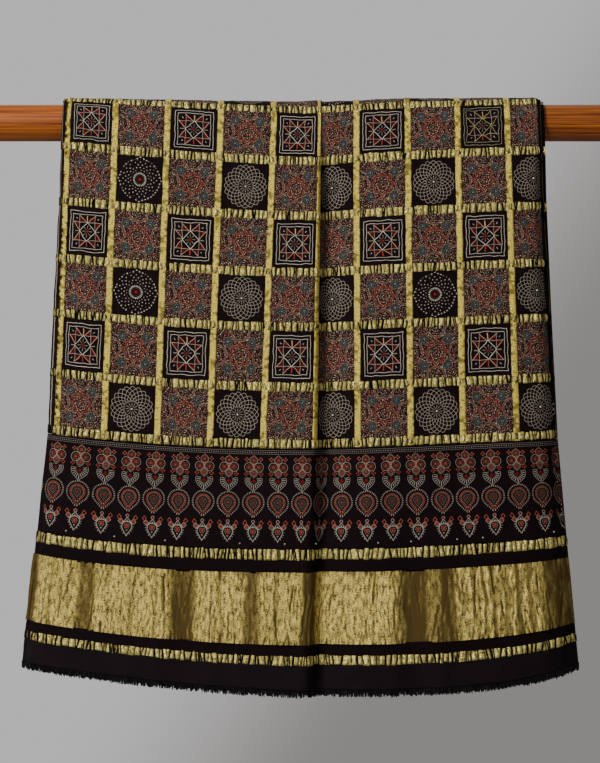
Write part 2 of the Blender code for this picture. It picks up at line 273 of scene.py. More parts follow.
FOLD_TURN = 0.008
PLEAT_DEPTH = 0.142
PLEAT_INNER_X = (0.098, 0.110, 0.128)
LAST_EDGE_SHOWS = (0.0055, 0.0065, 0.0050)
LAYER_SPACING_ROD = 0.0016
LAYER_SPACING_FRONT = 0.0070
LAYER_SPACING_BACK = 0.0040
SINK_LENGTH = 0.090
SPREAD_LENGTH = 0.250
BACK_SWING = 0.008
MIDDLE_X = 0.018
LEFT_FOLD = FRONT[0, FLAT]
RIGHT_FOLD = FRONT[-1, FLAT]
FLAP_EDGE = LEFT_FOLD - FOLD_TURN - 0.096
PLEAT_FOLD = RIGHT_FOLD + FOLD_TURN + PLEAT_DEPTH
PLEAT_TURNED = PLEAT_FOLD + FOLD_TURN
LAST_EDGE = PLEAT_TURNED + PLEAT_DEPTH
LAST_SHOWN = 0.012
RISE = np.array((
    # drop, left rise, left growth, right rise, right growth
    (0.0000, 0.0000, 1.4, 0.0000, 0.7),
    (FIELD_DROP, 0.0145, 2.3, 0.0090, 1.1),
    (0.4500, 0.0160, 2.9, 0.0118, 1.9),
    (HEM_DROP, 0.0235, 1.7, 0.0205, 3.2),
))
# How the printed rows themselves are drawn up at the sides, over the rod and down.
ROW_RISE = np.array((
    (0.0000, 0.0166, 1.4, 0.0115, 0.7),
    *RISE[1:],
))
TROUGHS = ((0.137, 0.026, 0.0030), (0.362, 0.026, 0.0040))
TROUGH_START = 0.300
BACK_WAVES = ((-0.130, 0.090, 0.009), (0.050, 0.075, -0.007), (0.190, 0.070, 0.005))
FACE_LIFT = 0.0004
SILK_THICKNESS = 0.0007
# How often a place is halved or a row followed, until it no longer moves.
HALVINGS = 22
ROW_ROUNDS = 6
SLOPE_REACH = 0.0004
RANDOM_CELLS = (61, 67)
FOLD_STEPS = 6
TAPES = (0.0, 0.0475, 0.1005, 0.154, 0.2075, 0.2605, 0.3135, 0.366, 0.418, 0.470,
         0.522, 0.574, 0.626, 0.678, 0.730)
ROWS_FRONT = (-0.011, 0.041, 0.096, 0.1525, 0.207, 0.2665, 0.3233)
ROW_PITCH = 0.0555
ROWS_BEHIND = 10
ROWS = tuple(ROWS_FRONT[0] - ROW_PITCH * k for k in range(ROWS_BEHIND, 0, -1)) + ROWS_FRONT


def eased(value):
    """0 to 1 with a soft start and a soft end."""
    value = np.clip(value, 0.0, 1.0)
    return value * value * (3 - 2 * value)


def front_column(column, flat):
    """A smooth curve through one column of the front's table."""
    places, values = FRONT[:, FLAT], FRONT[:, column]
    order = np.arange(len(places))
    low, high = np.maximum(order - 1, 0), np.minimum(order + 1, len(places) - 1)
    slopes = (values[high] - values[low]) / (places[high] - places[low])
    flat = np.clip(flat, places[0], places[-1])
    i = np.clip(np.searchsorted(places, flat, side="right") - 1, 0, len(places) - 2)
    span = places[i + 1] - places[i]
    t = (flat - places[i]) / span
    return (
        values[i] * (1 + 2 * t) * (1 - t) ** 2
        + slopes[i] * span * t * (1 - t) ** 2
        + values[i + 1] * t * t * (3 - 2 * t)
        - slopes[i + 1] * span * t * t * (1 - t)
    )


def at_level(drop, rod, seam, hem):
    """Moves evenly from a value at the rod to one at the field's seam and one at the hem."""
    upper = np.clip(drop / FIELD_DROP, 0.0, 1.0)
    lower = np.clip((drop - FIELD_DROP) / (HEM_DROP - FIELD_DROP), 0.0, 1.0)
    return rod + (seam - rod) * upper + (hem - seam) * lower


def front_x(flat, drop):
    """Where places across the front lie left to right."""
    columns = (front_column(column, flat) for column in (X_ROD, X_SEAM, X_HEM))
    return at_level(drop, *columns)


def flat_at_x(x, drop):
    """The place across the front that stands at x, found by halving."""
    low, high = np.full(x.shape, LEFT_FOLD), np.full(x.shape, RIGHT_FOLD)
    for _ in range(HALVINGS):
        middle = (low + high) / 2
        before = front_x(middle, drop) < x
        low, high = np.where(before, middle, low), np.where(before, high, middle)
    return (low + high) / 2


def waves(table, place):
    """The depth of the soft troughs in a table, at places across them."""
    depth = 0.0
    for middle, half_width, deepest in table:
        away = np.minimum(1.0, abs(place - middle) / half_width)
        depth = depth + deepest * (1 + np.cos(np.pi * away)) / 2
    return depth


def layer_spacing(drop, hung):
    """How far apart the layers lie: close at the rod, and hung apart lower down."""
    return LAYER_SPACING_ROD + (hung - LAYER_SPACING_ROD) * eased(drop / SPREAD_LENGTH)


def section(flat, drop):
    """Where places across the cloth lie left to right, and how many layers back."""
    bulge = layer_spacing(drop, LAYER_SPACING_FRONT) / 2
    left, right = front_x(LEFT_FOLD, drop), front_x(RIGHT_FOLD, drop)
    inner = at_level(drop, *PLEAT_INNER_X)
    last = right + at_level(drop, *LAST_EDGE_SHOWS)
    left_turn = np.pi * (LEFT_FOLD - flat) / FOLD_TURN
    right_turn = np.pi * (flat - RIGHT_FOLD) / FOLD_TURN
    pleat_turn = np.pi * (flat - PLEAT_FOLD) / FOLD_TURN
    pleated = (flat - RIGHT_FOLD - FOLD_TURN) / PLEAT_DEPTH
    turned = (flat - PLEAT_TURNED) / PLEAT_DEPTH
    stretches = [
        flat < LEFT_FOLD - FOLD_TURN, flat < LEFT_FOLD, flat <= RIGHT_FOLD,
        flat < RIGHT_FOLD + FOLD_TURN, flat <= PLEAT_FOLD, flat < PLEAT_TURNED,
    ]
    x = np.select(stretches, [
        left + LEFT_FOLD - FOLD_TURN - flat,
        left - bulge * np.sin(left_turn),
        front_x(flat, drop),
        right + bulge * np.sin(right_turn),
        right + (inner - right) * pleated,
        inner - bulge * np.sin(pleat_turn),
    ], inner + (last - inner) * turned)
    layer = np.select(stretches, [
        1.0, (1 - np.cos(left_turn)) / 2, 0.0,
        (1 - np.cos(right_turn)) / 2, 1.0, 1 + (1 - np.cos(pleat_turn)) / 2,
    ], 2.0)
    return x, layer


def rise_at(table, x, drop):
    """How far the cloth or its printed rows are drawn up at x, above the middle."""
    drops, left, left_growth, right, right_growth = table.T
    on_left = x < MIDDLE_X
    reach = np.where(on_left, front_x(LEFT_FOLD, drop), front_x(RIGHT_FOLD, drop)) - MIDDLE_X
    share = np.clip((x - MIDDLE_X) / reach, 1e-6, 1.0)
    rise = np.where(on_left, np.interp(drop, drops, left), np.interp(drop, drops, right))
    growth = np.where(
        on_left, np.interp(drop, drops, left_growth), np.interp(drop, drops, right_growth))
    return rise * share ** growth


def middle_surface(flat, along):
    """Points of the middle of the cloth's thickness."""
    drop = np.maximum(along, 0.0)
    x, layer = section(flat, drop)
    on_front = np.where(layer == 0.0, flat, flat_at_x(x, drop))
    radius = INNER_RADIUS + front_column(OUT, on_front) - layer * LAYER_SPACING_ROD
    on_rod = -(INNER_RADIUS + front_column(OUT, on_front))
    plain = at_level(drop, on_rod, front_column(Y_SEAM, on_front), front_column(Y_HEM, on_front))
    sunk = front_column(SUNK, on_front) * eased(drop / SINK_LENGTH)
    grown = eased((drop - TROUGH_START) / (HEM_DROP - TROUGH_START))
    front_y = plain + sunk + waves(TROUGHS, on_front) * grown
    front_y = front_y + layer * layer_spacing(drop, LAYER_SPACING_FRONT)
    turn = np.clip(-along / radius, 0.0, np.pi)
    behind = np.maximum(0.0, -along - np.pi * radius)
    spread = layer_spacing(behind, LAYER_SPACING_BACK) - LAYER_SPACING_ROD
    swing = (BACK_SWING + waves(BACK_WAVES, x)) * eased(behind / BACK_DROP)
    back_y = radius - layer * spread + swing
    y = np.select([along >= 0, behind == 0], [front_y, -radius * np.cos(turn)], back_y)
    z = np.select(
        [along >= 0, behind == 0],
        [rise_at(RISE, x, drop) - drop, radius * np.sin(turn)], -behind)
    return np.stack((x + CLOTH_MIDDLE_X, y, z), axis=-1)


def cloth(flat, along, lift):
    """Points that stand off the middle surface by lift, towards the printed side."""
    flat, along, lift = (a.astype(float) for a in np.broadcast_arrays(flat, along, lift))
    near = SLOPE_REACH
    across = middle_surface(flat + near, along) - middle_surface(flat - near, along)
    up = middle_surface(flat, along - near) - middle_surface(flat, along + near)
    square = np.cross(across, up)
    square /= np.maximum(np.linalg.norm(square, axis=-1, keepdims=True), 1e-12)
    return middle_surface(flat, along) + square * lift[..., None]


def along_at_row(flat, row):
    """The way along the cloth at which a printed row's line crosses a place across it."""
    flat, row = (a.astype(float) for a in np.broadcast_arrays(flat, row))
    along = row.copy()
    for _ in range(ROW_ROUNDS):
        drop = np.maximum(along, 0.0)
        x, _layer = section(flat, drop)
        lifted = rise_at(ROW_RISE, x, np.maximum(row, 0.0))
        along = row - lifted + np.where(along > 0, rise_at(RISE, x, drop), 0.0)
    return along


def row_at_along(flat, along):
    """The printed row's line that crosses a place of the cloth."""
    drop = np.maximum(along, 0.0)
    x, _layer = section(flat, drop)
    row = along.astype(float)
    for _ in range(ROW_ROUNDS):
        row = along - rise_at(RISE, x, drop) + rise_at(ROW_RISE, x, np.maximum(row, 0.0))
    return row


def uneven(x, y, seed):
    """Smooth random values from -1 to 1 with a spacing of 1 in x and in y."""
    table = np.random.default_rng(seed).uniform(-1, 1, RANDOM_CELLS)
    wide, high = RANDOM_CELLS
    i, j = np.floor(x).astype(int), np.floor(y).astype(int)
    s, t = eased(x - i), eased(y - j)
    left, right = (
        table[(i + a) % wide, j % high] * (1 - t) + table[(i + a) % wide, (j + 1) % high] * t
        for a in (0, 1))
    return left * (1 - s) + right * s


def spaced(*stretches):
    """Places from (start, end, longest step) stretches that follow each other."""
    places = [stretches[0][0]]
    for start, end, step in stretches:
        steps = max(1, math.ceil(abs(end - start) / step - 1e-6))
        places += [start + (end - start) * k / steps for k in range(1, steps + 1)]
    return np.array(places)


def across_places(step, hidden_step):
    """Places across the whole cloth, close together where it turns or creases."""
    turn = FOLD_TURN / FOLD_STEPS
    return spaced(
        (FLAP_EDGE, LEFT_FOLD - FOLD_TURN, hidden_step), (LEFT_FOLD - FOLD_TURN, LEFT_FOLD, turn),
        (LEFT_FOLD, 0.0, step / 2),
        *((low, high, step) for low, high in zip(TAPES[:9], TAPES[1:10])),
        (TAPES[9], RIGHT_FOLD, step * 0.8), (RIGHT_FOLD, RIGHT_FOLD + FOLD_TURN, turn),
        (RIGHT_FOLD + FOLD_TURN, PLEAT_FOLD, hidden_step), (PLEAT_FOLD, PLEAT_TURNED, turn),
        (PLEAT_TURNED, LAST_EDGE - LAST_SHOWN, hidden_step),
        (LAST_EDGE - LAST_SHOWN, LAST_EDGE, step),
    )


def mapped(mesh, name, places, middles=(0.0, 0.0), scales=(1.0, 1.0)):
    """A UV map in millimetres. Places are of the points, across and along. Middles are what
    each face measures them from, and scales fit them."""
    corners = np.empty(len(mesh.loops), dtype=np.int32)
    mesh.loops.foreach_get("vertex_index", corners)
    ways = []
    for place, middle, scale in zip(places, middles, scales):
        middle, scale = (
            np.repeat(np.broadcast_to(np.ravel(value), len(mesh.polygons)), 4)
            for value in (middle, scale))
        ways.append((np.ravel(place)[corners] - middle) * scale)
    mesh.uv_layers.new(name=name).data.foreach_set("uv", (np.stack(ways, axis=-1) * 1000).ravel())


def woven(name, points, flats, rows, extra=None):
    """A mesh from a grid of points, with its place on the cloth as a UV map in millimetres."""
    count, width = points.shape[:2]
    index = np.arange(count * width).reshape(count, width)
    quads = np.stack((index[:-1, :-1], index[1:, :-1], index[1:, 1:], index[:-1, 1:]), axis=-1)
    mesh = bpy.data.meshes.new(name)
    mesh.from_pydata(points.reshape(-1, 3).tolist(), [], quads.reshape(-1, 4).tolist())
    mapped(mesh, "cloth_mm", np.broadcast_arrays(flats, rows))
    for label, values in (extra or {}).items():
        layer = mesh.attributes.new(label, "FLOAT", "POINT")
        values = np.broadcast_to(values, (count, width)).ravel()
        layer.data.foreach_set("value", values.astype(np.float32))
    mesh.shade_smooth()
    return linked(name, mesh)


def thickened(piece, thickness):
    """Gives a sheet its thickness, away from the printed side."""
    solid = piece.modifiers.new("thickness", "SOLIDIFY")
    solid.thickness = thickness
    solid.offset = -1.0


def hand_set(tree, wander_mm, wander_length_mm):
    """The square's own place in millimetres, wandering as a hand-set block does."""
    drawn = noise(add(tree, "ShaderNodeUVMap", uv_map="cloth_mm"), 1 / wander_length_mm, 1.0)
    drift = vectors("SUBTRACT", drawn.outputs["Color"], (0.5, 0.5, 0.5))
    place = add(tree, "ShaderNodeUVMap", uv_map="square_mm")
    return vectors("MULTIPLY_ADD", drift, (wander_mm, wander_mm, 0.0), place)


def within(distance, at, half_width, edge=0.25):
    """Ink where a distance lies within half a line's width of a value, with a soft edge."""
    away = maths("ABSOLUTE", maths("SUBTRACT", distance, at))
    return ranged(away, half_width + edge, half_width - edge)


def least(*values):
    """The least of some numbers. Of inks, this leaves ink only where every one has it."""
    found = values[0]
    for value in values[1:]:
        found = maths("MINIMUM", found, value)
    return found


def inked(tree, ground, inks):
    """Lays inks over a ground in their order, each thin and uneven in places. An ink is a
    colour and what it keeps within: a distance with its place, half width and soft edge in
    millimetres, or a cover of its own."""
    clouds = noise(add(tree, "ShaderNodeUVMap", uv_map="cloth_mm"), 0.9, 2.0)
    taken = ranged(clouds, 0.32, 0.50, 0.62, 1.0)
    for colour, *covers in inks:
        cover = least(*(within(*cover) if isinstance(cover, tuple) else cover for cover in covers))
        ground = mixed(maths("MULTIPLY", cover, taken), ground, colour)
    return ground


def weave(flat, thread_mm):
    """The height of crossing threads."""
    turns = (math.tau / thread_mm, math.tau / thread_mm, 0.0)
    across, along, _ = split(vectors("SINE", vectors("MULTIPLY", flat, turns)))
    return maths("MULTIPLY", across, along)


def silk(name, print_on, roughness=0.78):
    """Plain-woven matt silk, its threads drawn at twice their real 0.35 mm spacing so that
    they show, and print_on gives the dyed colour."""
    made, tree = material(name)
    flat = add(tree, "ShaderNodeUVMap", uv_map="cloth_mm")
    worn = ranged(noise(flat, 0.045, 3.0), 0.30, 0.70, 0.90, 1.12)
    raised = maths("MULTIPLY_ADD", noise(flat, 0.5, 3.0), 2.0, weave(flat, 0.7))
    fill(tree.nodes["Principled BSDF"], {
        "Base Color": scaled(print_on(tree), worn), "Normal": bumped(raised, 0.35, 0.00012),
        "Roughness": roughness, "Specular IOR Level": 0.10})
    return made


def point(x, y):
    """A place from its two parts."""
    return add(tree_of(x, y), "ShaderNodeCombineXYZ", (x, y)).outputs[0]


def two_sides(place):
    """How far a place is from the middle across and down, and the larger and the smaller."""
    across, down, _ = split(vectors("ABSOLUTE", place))
    return across, down, maths("MAXIMUM", across, down), maths("MINIMUM", across, down)


def around(place):
    """The distance from the middle and the angle round it."""
    across, down, _ = split(place)
    return vectors("LENGTH", place), maths("ARCTAN2", down, across)


def rays(angle, count):
    """1 on each of count rays round a point and -1 between them."""
    return maths("COSINE", maths("MULTIPLY", angle, float(count)))


BLACK_SILK = "#110508"


def star_in_frames(tree, wander_mm=2.6, gilt=False):
    """Two wavering frames round a square, a diamond and a star with dark red points. One
    square is worked over in yellow thread instead, with no red."""
    place = hand_set(tree, wander_mm, 9.0)
    across, down, far, near = two_sides(place)
    distance, angle = around(place)
    folded = point(far, near)
    slant = vectors("DOT_PRODUCT", folded, (0.766, -0.643, 0.0))
    total, difference = maths("ADD", far, near), maths("SUBTRACT", far, near)
    corner = vectors("DISTANCE", folded, (12.0, 12.0, 0.0))
    inside = within(far, 0.0, 15.4)
    upright = maths("GREATER_THAN", down, across)
    sideways = maths("SUBTRACT", 1.0, upright)
    lower = maths("GREATER_THAN", split(place)[1], 0.0)
    upper = maths("SUBTRACT", 1.0, lower)
    bar = least(within(near, 0.0, 0.42, 0.15), within(far, 12.2, 2.7, 0.2))
    red = mixed(ranged(far, 9.0, 15.0), "#220404", "#1A0606" if gilt else "#8E0E10")
    frame_line, diamond_line, star_line = (
        ("#A39C80", "#BDB070", "#BDB070") if gilt else ("#D8CEBA", "#E6DAC4", "#DCB294"))
    return inked(tree, BLACK_SILK, (
        (red, (far, 12.0, 3.2, 0.15), (near, 4.1, 4.1, 0.15), (slant, 2.2, 3.2, 0.15)),
        (frame_line, (far, 19.3, 0.19, 0.15)),
        (frame_line, (far, 16.4, 0.17, 0.15)),
        ("#B4A48C", (far, 8.7, 0.17, 0.15), (near, 0.0, 8.9)),
        ("#B89E90", (near, 8.7, 0.17, 0.15), inside),
        (diamond_line, (total, 8.8, 0.30, 0.14)),
        (star_line, (slant, 6.05, 0.19, 0.15), inside, (far, 12.4, 3.6)),
        ("#B23C28", bar, upright, lower),
        ("#E0A070", bar, upright, upper),
        ("#8F8069", bar, sideways, (far, 11.4, 2.2)),
        ("#B5AFA4", (corner, 0.0, 0.95, 0.15), (difference, 0.0, 0.4, 0.15)),
        ("#857B70", (rays(angle, 8), 1.0, 0.16, 0.12), (distance, 3.6, 1.7)),
        ("#8E1410", (distance, 0.0, 1.1, 0.3)),
    ))


ROSETTE_REACH_MM = 21.2
ROSETTE_PETALS = 20
PETAL_SPREAD = 1.06
PETAL_ROUNDING = 0.25


def petal_lattice(place):
    """How far round a place is from the nearest petal's two sides, in petals, the sides'
    slope against the middle, and the distance from the middle and the angle round it."""
    distance, angle = around(place)
    rest = maths("SUBTRACT", 1.0, maths("DIVIDE", distance, ROSETTE_REACH_MM))
    rest = maths("MAXIMUM", rest, 0.0005)
    root = maths("POWER", rest, 0.5)
    turn = maths("MULTIPLY_ADD", root, PETAL_ROUNDING, maths("MULTIPLY", rest, PETAL_SPREAD))
    slope = maths("ADD", maths("DIVIDE", PETAL_ROUNDING / 2, root), PETAL_SPREAD)
    offsets = []
    for side in ("ADD", "SUBTRACT"):
        phase = maths("MULTIPLY", maths(side, angle, turn), ROSETTE_PETALS / math.tau)
        offsets.append(maths("SUBTRACT", phase, maths("ROUND", phase)))
    return offsets, maths("DIVIDE", slope, ROSETTE_REACH_MM), distance, angle


def line_rosette(tree):
    """Twenty long petals in thin grey-beige lines, so that their sides cross as a net."""
    offsets, slope, distance, angle = petal_lattice(hand_set(tree, 1.5, 7.0))
    steep = vectors("LENGTH", point(maths("DIVIDE", 1.0, distance), slope))
    off = maths("MULTIPLY", least(*(maths("ABSOLUTE", offset) for offset in offsets)),
                math.tau / ROSETTE_PETALS)
    return inked(tree, BLACK_SILK, (
        ("#B8AA96", (maths("DIVIDE", off, steep), 0.0, 0.14, 0.10), (distance, 14.1, 7.2)),
        ("#8A8071", (rays(angle, 12), 1.0, 0.35, 0.25), (distance, 3.9, 1.9)),
    ))


def dotted_rosette(tree):
    """The same petals as cream dots where they cross, a ring of beads and a red middle."""
    place = hand_set(tree, 1.2, 8.0)
    (one, other), slope, distance, angle = petal_lattice(place)
    half_step = math.tau / ROSETTE_PETALS / 2
    round_it = maths("MULTIPLY", maths("MULTIPLY", maths("ADD", one, other), half_step), distance)
    outward = maths("DIVIDE", maths("MULTIPLY", maths("SUBTRACT", one, other), half_step), slope)
    dot = vectors("LENGTH", point(round_it, outward))
    kept = maths("GREATER_THAN", noise(place, 0.28, 0.0), 0.40)
    quarters = maths("POWER", maths("MAXIMUM", rays(angle, 4), 0.0), 8.0)
    pointed = maths("MULTIPLY_ADD", quarters, -1.6, distance)
    return inked(tree, BLACK_SILK, (
        ("#D6CBB6", (dot, 0.0, 0.44, 0.2), (distance, 14.2, 5.0), kept),
        ("#CFC4B0", (pointed, 20.3, 0.38, 0.2), (rays(angle, 40), 1.0, 0.8, 0.2), kept),
        ("#CFC4B2", (distance, 6.0, 0.85, 0.2), (rays(angle, 24), 1.0, 0.75, 0.2)),
        ("#33211C", (distance, 3.9, 0.55, 0.3)),
        ("#8E1410", (distance, 0.0, 1.5, 0.5)),
    ))


def rings(distance, reach, bands):
    """Concentric bands of colour out to reach, with the ink's cover in their alpha."""
    share = maths("DIVIDE", distance, reach)
    ramp = add(share.id_data, "ShaderNodeValToRGB", (share,))
    ramp.color_ramp.interpolation = "CONSTANT"
    stops = ramp.color_ramp.elements
    stops.remove(stops[1])
    for k, (start, colour) in enumerate(bands):
        stop = stops[0] if k == 0 else stops.new(start / reach)
        stop.position = start / reach
        stop.color = linear(colour) if colour else (0, 0, 0, 0)
    return ramp.outputs


AJRAKH_LINE_MM = 2.1


def ajrakh(tree):
    """Ajrakh print: a star-shaped medallion, florets at its corners and half medallions on
    the sides. Broken lines of small dots in madder, cream and blue follow their outlines."""
    place = hand_set(tree, 2.2, 5.0)
    _, _, far, near = two_sides(place)
    folded = point(far, near)
    star = least(far, maths("DIVIDE", maths("ADD", far, near), math.sqrt(2)))
    side = vectors("DISTANCE", folded, (22.8, 0.0, 0.0))
    floret, angle = around(vectors("SUBTRACT", folded, (11.8, 11.8, 0.0)))
    petals = rays(angle, 8)
    petalled = maths("MULTIPLY_ADD", petals, 0.6, floret)
    outline = least(*(
        maths("ABSOLUTE", maths("SUBTRACT", shape, size))
        for shape, size in ((star, 7.9), (petalled, 4.0), (side, 9.2))))
    line = maths("PINGPONG", outline, AJRAKH_LINE_MM / 2)
    specks = add(tree, "ShaderNodeTexVoronoi", {"Vector": place, "Scale": 0.95, "Randomness": 0.8})
    speck = specks.outputs["Distance"]
    which_dye, which_kept, which_broken = split(specks.outputs["Color"])
    turn = maths("MULTIPLY_ADD", outline, 1.0 / (AJRAKH_LINE_MM * 3), which_dye)
    dyes = rings(maths("FRACT", turn), 1.0, (
        (0.0, "#A05040"), (0.22, "#C6B694"), (0.43, "#221214"), (0.51, "#96483A"),
        (0.67, "#506668"), (0.80, "#A0896C"), (0.92, "#140A0C")))["Color"]
    ground = mixed(maths("MULTIPLY", within(star, 0.0, 7.9), 0.5), "#150C10", "#341414")
    in_floret = within(petalled, 0.0, 3.6)
    broken = ranged(which_broken, 0.14, 0.20, 0.25, 1.0)
    return inked(tree, ground, (
        (dyes, (speck, 0.0, 0.30, 0.12), (which_kept, 0.0, 0.45, 0.02)),
        (dyes, (line, AJRAKH_LINE_MM / 2, 0.46, 0.2), (speck, 0.0, 0.52, 0.12)),
        ("#06080C", in_floret),
        ("#62787A", in_floret, ranged(petals, -0.3, -0.7), (floret, 2.1, 0.55, 0.2)),
        ("#8E7F6C", in_floret, (speck, 0.0, 0.3, 0.12), (which_kept, 0.0, 0.35, 0.02)),
        ("#A0967F", (floret, 0.0, 0.6, 0.3)),
        ("#0E090A", (outline, 0.0, 0.80, 0.2), broken),
        ("#5C6660", (outline, 0.52, 0.18, 0.14), broken, (petalled, 0.0, 6.0)),
        ("#8F6A58", (outline, 0.55, 0.22, 0.16), broken, (side, 9.2, 1.5)),
        ("#AC5442", (outline, 0.60, 0.16, 0.14), (star, 7.9, 1.5)),
    ))


def side_border(tree):
    """The black side border: a thin double line and a row of small madder florets."""
    place = hand_set(tree, 1.0, 8.0)
    distance, _ = around(place)
    return inked(tree, BLACK_SILK, (
        ("#8A4434", (distance, 0.0, 3.4)),
        ("#B7A184", (distance, 2.2, 0.5)),
        ("#0B0B10", (distance, 0.0, 1.2)),
        ("#8D8276", (distance, 5.0, 0.4)),
        ("#9D8F7D", (two_sides(place)[0], 10.0, 0.35)),
    ))


def dyed(colour):
    """One plain colour over the whole cloth."""
    inputs = {0: 1.0, 7: colour}
    return lambda tree: add(tree, "ShaderNodeMix", inputs, data_type="RGBA").outputs[2]


PRINTS = (
    ("ajrakh_printed_silk", ajrakh),
    ("star_printed_silk", star_in_frames),
    ("line_rosette_silk", line_rosette),
    ("dotted_rosette_silk", dotted_rosette),
    ("side_border_silk", side_border),
    ("gilt_star_silk", lambda tree: star_in_frames(tree, 4.4, True)),
    ("plain_black_silk", dyed(BLACK_SILK)),
)
AJRAKH, STAR, LINES, DOTS, SIDE, GILT_STAR, PLAIN = range(7)
GILT_SQUARE = (8, 0)
DOTTED_SQUARES = {(1, 1), (1, 3), (7, 3)}


def print_of(column, row):
    """Which print a square of the field has."""
    if column < 0 or column >= len(TAPES) - 1:
        return SIDE
    if (column + row) % 2:
        return AJRAKH
    if row % 2 == 0:
        return GILT_STAR if (column, row) == GILT_SQUARE else STAR
    scattered = row < 0 and (column * 5 + row * 3) % 11 == 0
    return DOTS if scattered or (column, row) in DOTTED_SQUARES else LINES


def rod_radius(flats):
    """The radius at which each place across the cloth goes over the rod."""
    x, layer = section(flats, np.zeros_like(flats))
    on_front = np.where(layer == 0.0, flats, flat_at_x(x, np.zeros_like(x)))
    return INNER_RADIUS + front_column(OUT, on_front) - layer * LAYER_SPACING_ROD


BLACK_EDGE = 0.0056
BLACK_EDGE_LEAST = 0.0008
BLACK_EDGE_TOP = -0.034
BLACK_EDGE_FADES = (0.10, 0.25)


def black_edge(flats, along):
    """1 where the plain black of the pleat shows past the front's right edge, high on the cloth.
    """
    start, length = BLACK_EDGE_FADES
    wide = BLACK_EDGE * (1 - eased((along - start) / length)) * (along > BLACK_EDGE_TOP)
    past = eased((flats - RIGHT_FOLD + wide) / 0.0010) * (flats < RIGHT_FOLD + 0.004)
    return past * (wide > BLACK_EDGE_LEAST)


SIDE_MOTIF = 0.020
NARROW_SQUARE = 1.13
USUAL_ROW = 0.0548


def square_places(flats, rows):
    """Column and row of the square at places on the field, its middle, and how its print is
    fitted across and down."""
    tapes, lines = np.array(TAPES), np.array(ROWS)
    column = np.searchsorted(tapes, flats, side="right") - 1
    row = np.clip(np.searchsorted(lines, rows, side="right") - 1, 0, len(ROWS) - 2)
    inner = np.clip(column, 0, len(TAPES) - 2)
    across = (tapes[inner] + tapes[inner + 1]) / 2
    across = np.where(column < 0, -SIDE_MOTIF, across)
    across = np.where(column > len(TAPES) - 2, LAST_EDGE - SIDE_MOTIF, across)
    down = (lines[row] + lines[row + 1]) / 2
    fitted = (np.where(column == 0, NARROW_SQUARE, 1.0), USUAL_ROW / (lines[row + 1] - lines[row]))
    return column, row - ROWS_BEHIND, (across, down), fitted


def face_middles(grid):
    """The middle of each face between a grid's values."""
    return (grid[:-1, :-1] + grid[1:, 1:]) / 2


SEAM_HALF = 0.0002
SHOWN_STEP = 0.0031
HIDDEN_STEP = 0.009
BACK_STEP = 0.008
WRAP_STEPS = 24
PUFF = 0.0007
PUFF_HALF = (0.026, 0.028)
RIPPLE = 0.00025

field_flats = across_places(SHOWN_STEP, HIDDEN_STEP)
field_front = spaced((0.0, FIELD_DROP - SEAM_HALF, SHOWN_STEP))
wrap_turns = spaced((1.0, 0.0, 1 / WRAP_STEPS))[:-1]
back_drops = spaced((BACK_DROP, 0.0, BACK_STEP))[:-1]
half_turns = np.pi * rod_radius(field_flats)
field_along = np.concatenate((
    -half_turns[None, :] - back_drops[:, None],
    -half_turns[None, :] * wrap_turns[:, None],
    np.broadcast_to(field_front[:, None], (len(field_front), len(field_flats))),
))
grid = np.broadcast_to(field_flats[None, :], field_along.shape)
rows = row_at_along(grid, field_along)
_, _, middles, fitted = square_places(grid, rows)
off_middle = ((grid - middles[0]) * fitted[0], (rows - middles[1]) * fitted[1])
puffed = 1.0
for way, half in zip(off_middle, PUFF_HALF):
    puffed = puffed * (1 - np.clip(abs(way) / half, 0, 1) ** 3)
slack = 0.5 + 0.5 * uneven(grid / 0.021, rows / 0.024, seed=3)
lift = FACE_LIFT + PUFF * puffed * slack + RIPPLE * uneven(grid / 0.0055, rows / 0.017, seed=5)
field = woven("patchwork_field_silk", cloth(grid, field_along, lift), grid, rows)
for name, print_on in PRINTS:
    field.data.materials.append(silk(name, print_on))
column, line, middles, fitted = square_places(face_middles(grid), face_middles(rows))
plain = black_edge(face_middles(grid), face_middles(field_along)) > 0.5
kinds = [PLAIN if black else print_of(*square) for *square, black in zip(
    column.ravel(), line.ravel(), plain.ravel())]
field.data.polygons.foreach_set("material_index", np.array(kinds, dtype=np.int32))
mapped(field.data, "square_mm", (grid, rows), middles, fitted)
thickened(field, SILK_THICKNESS)
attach(field, "root")
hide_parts("patchwork_field")
field_length = BACK_DROP + math.pi * float(rod_radius(np.array([0.2]))[0]) + FIELD_DROP


# ---- Gold tapes -----------------------------------------------------------------------
# Flat woven tapes of gold tissue, 6.6 mm wide, sewn down over each seam between columns.
# They run with the cloth from the field's lower seam, over the rod and down behind it.
TAPE_WIDTH = 0.0066
TAPE_THICKNESS = 0.0003
TAPE_LIFT = 0.00055
BITE_DEPTH = 0.0022
# Points across a tape, and its steps down the front and behind.
TAPE_SHOWN = (7, 0.0012, 0.003)
TAPE_HIDDEN = (4, 0.006, 0.009)


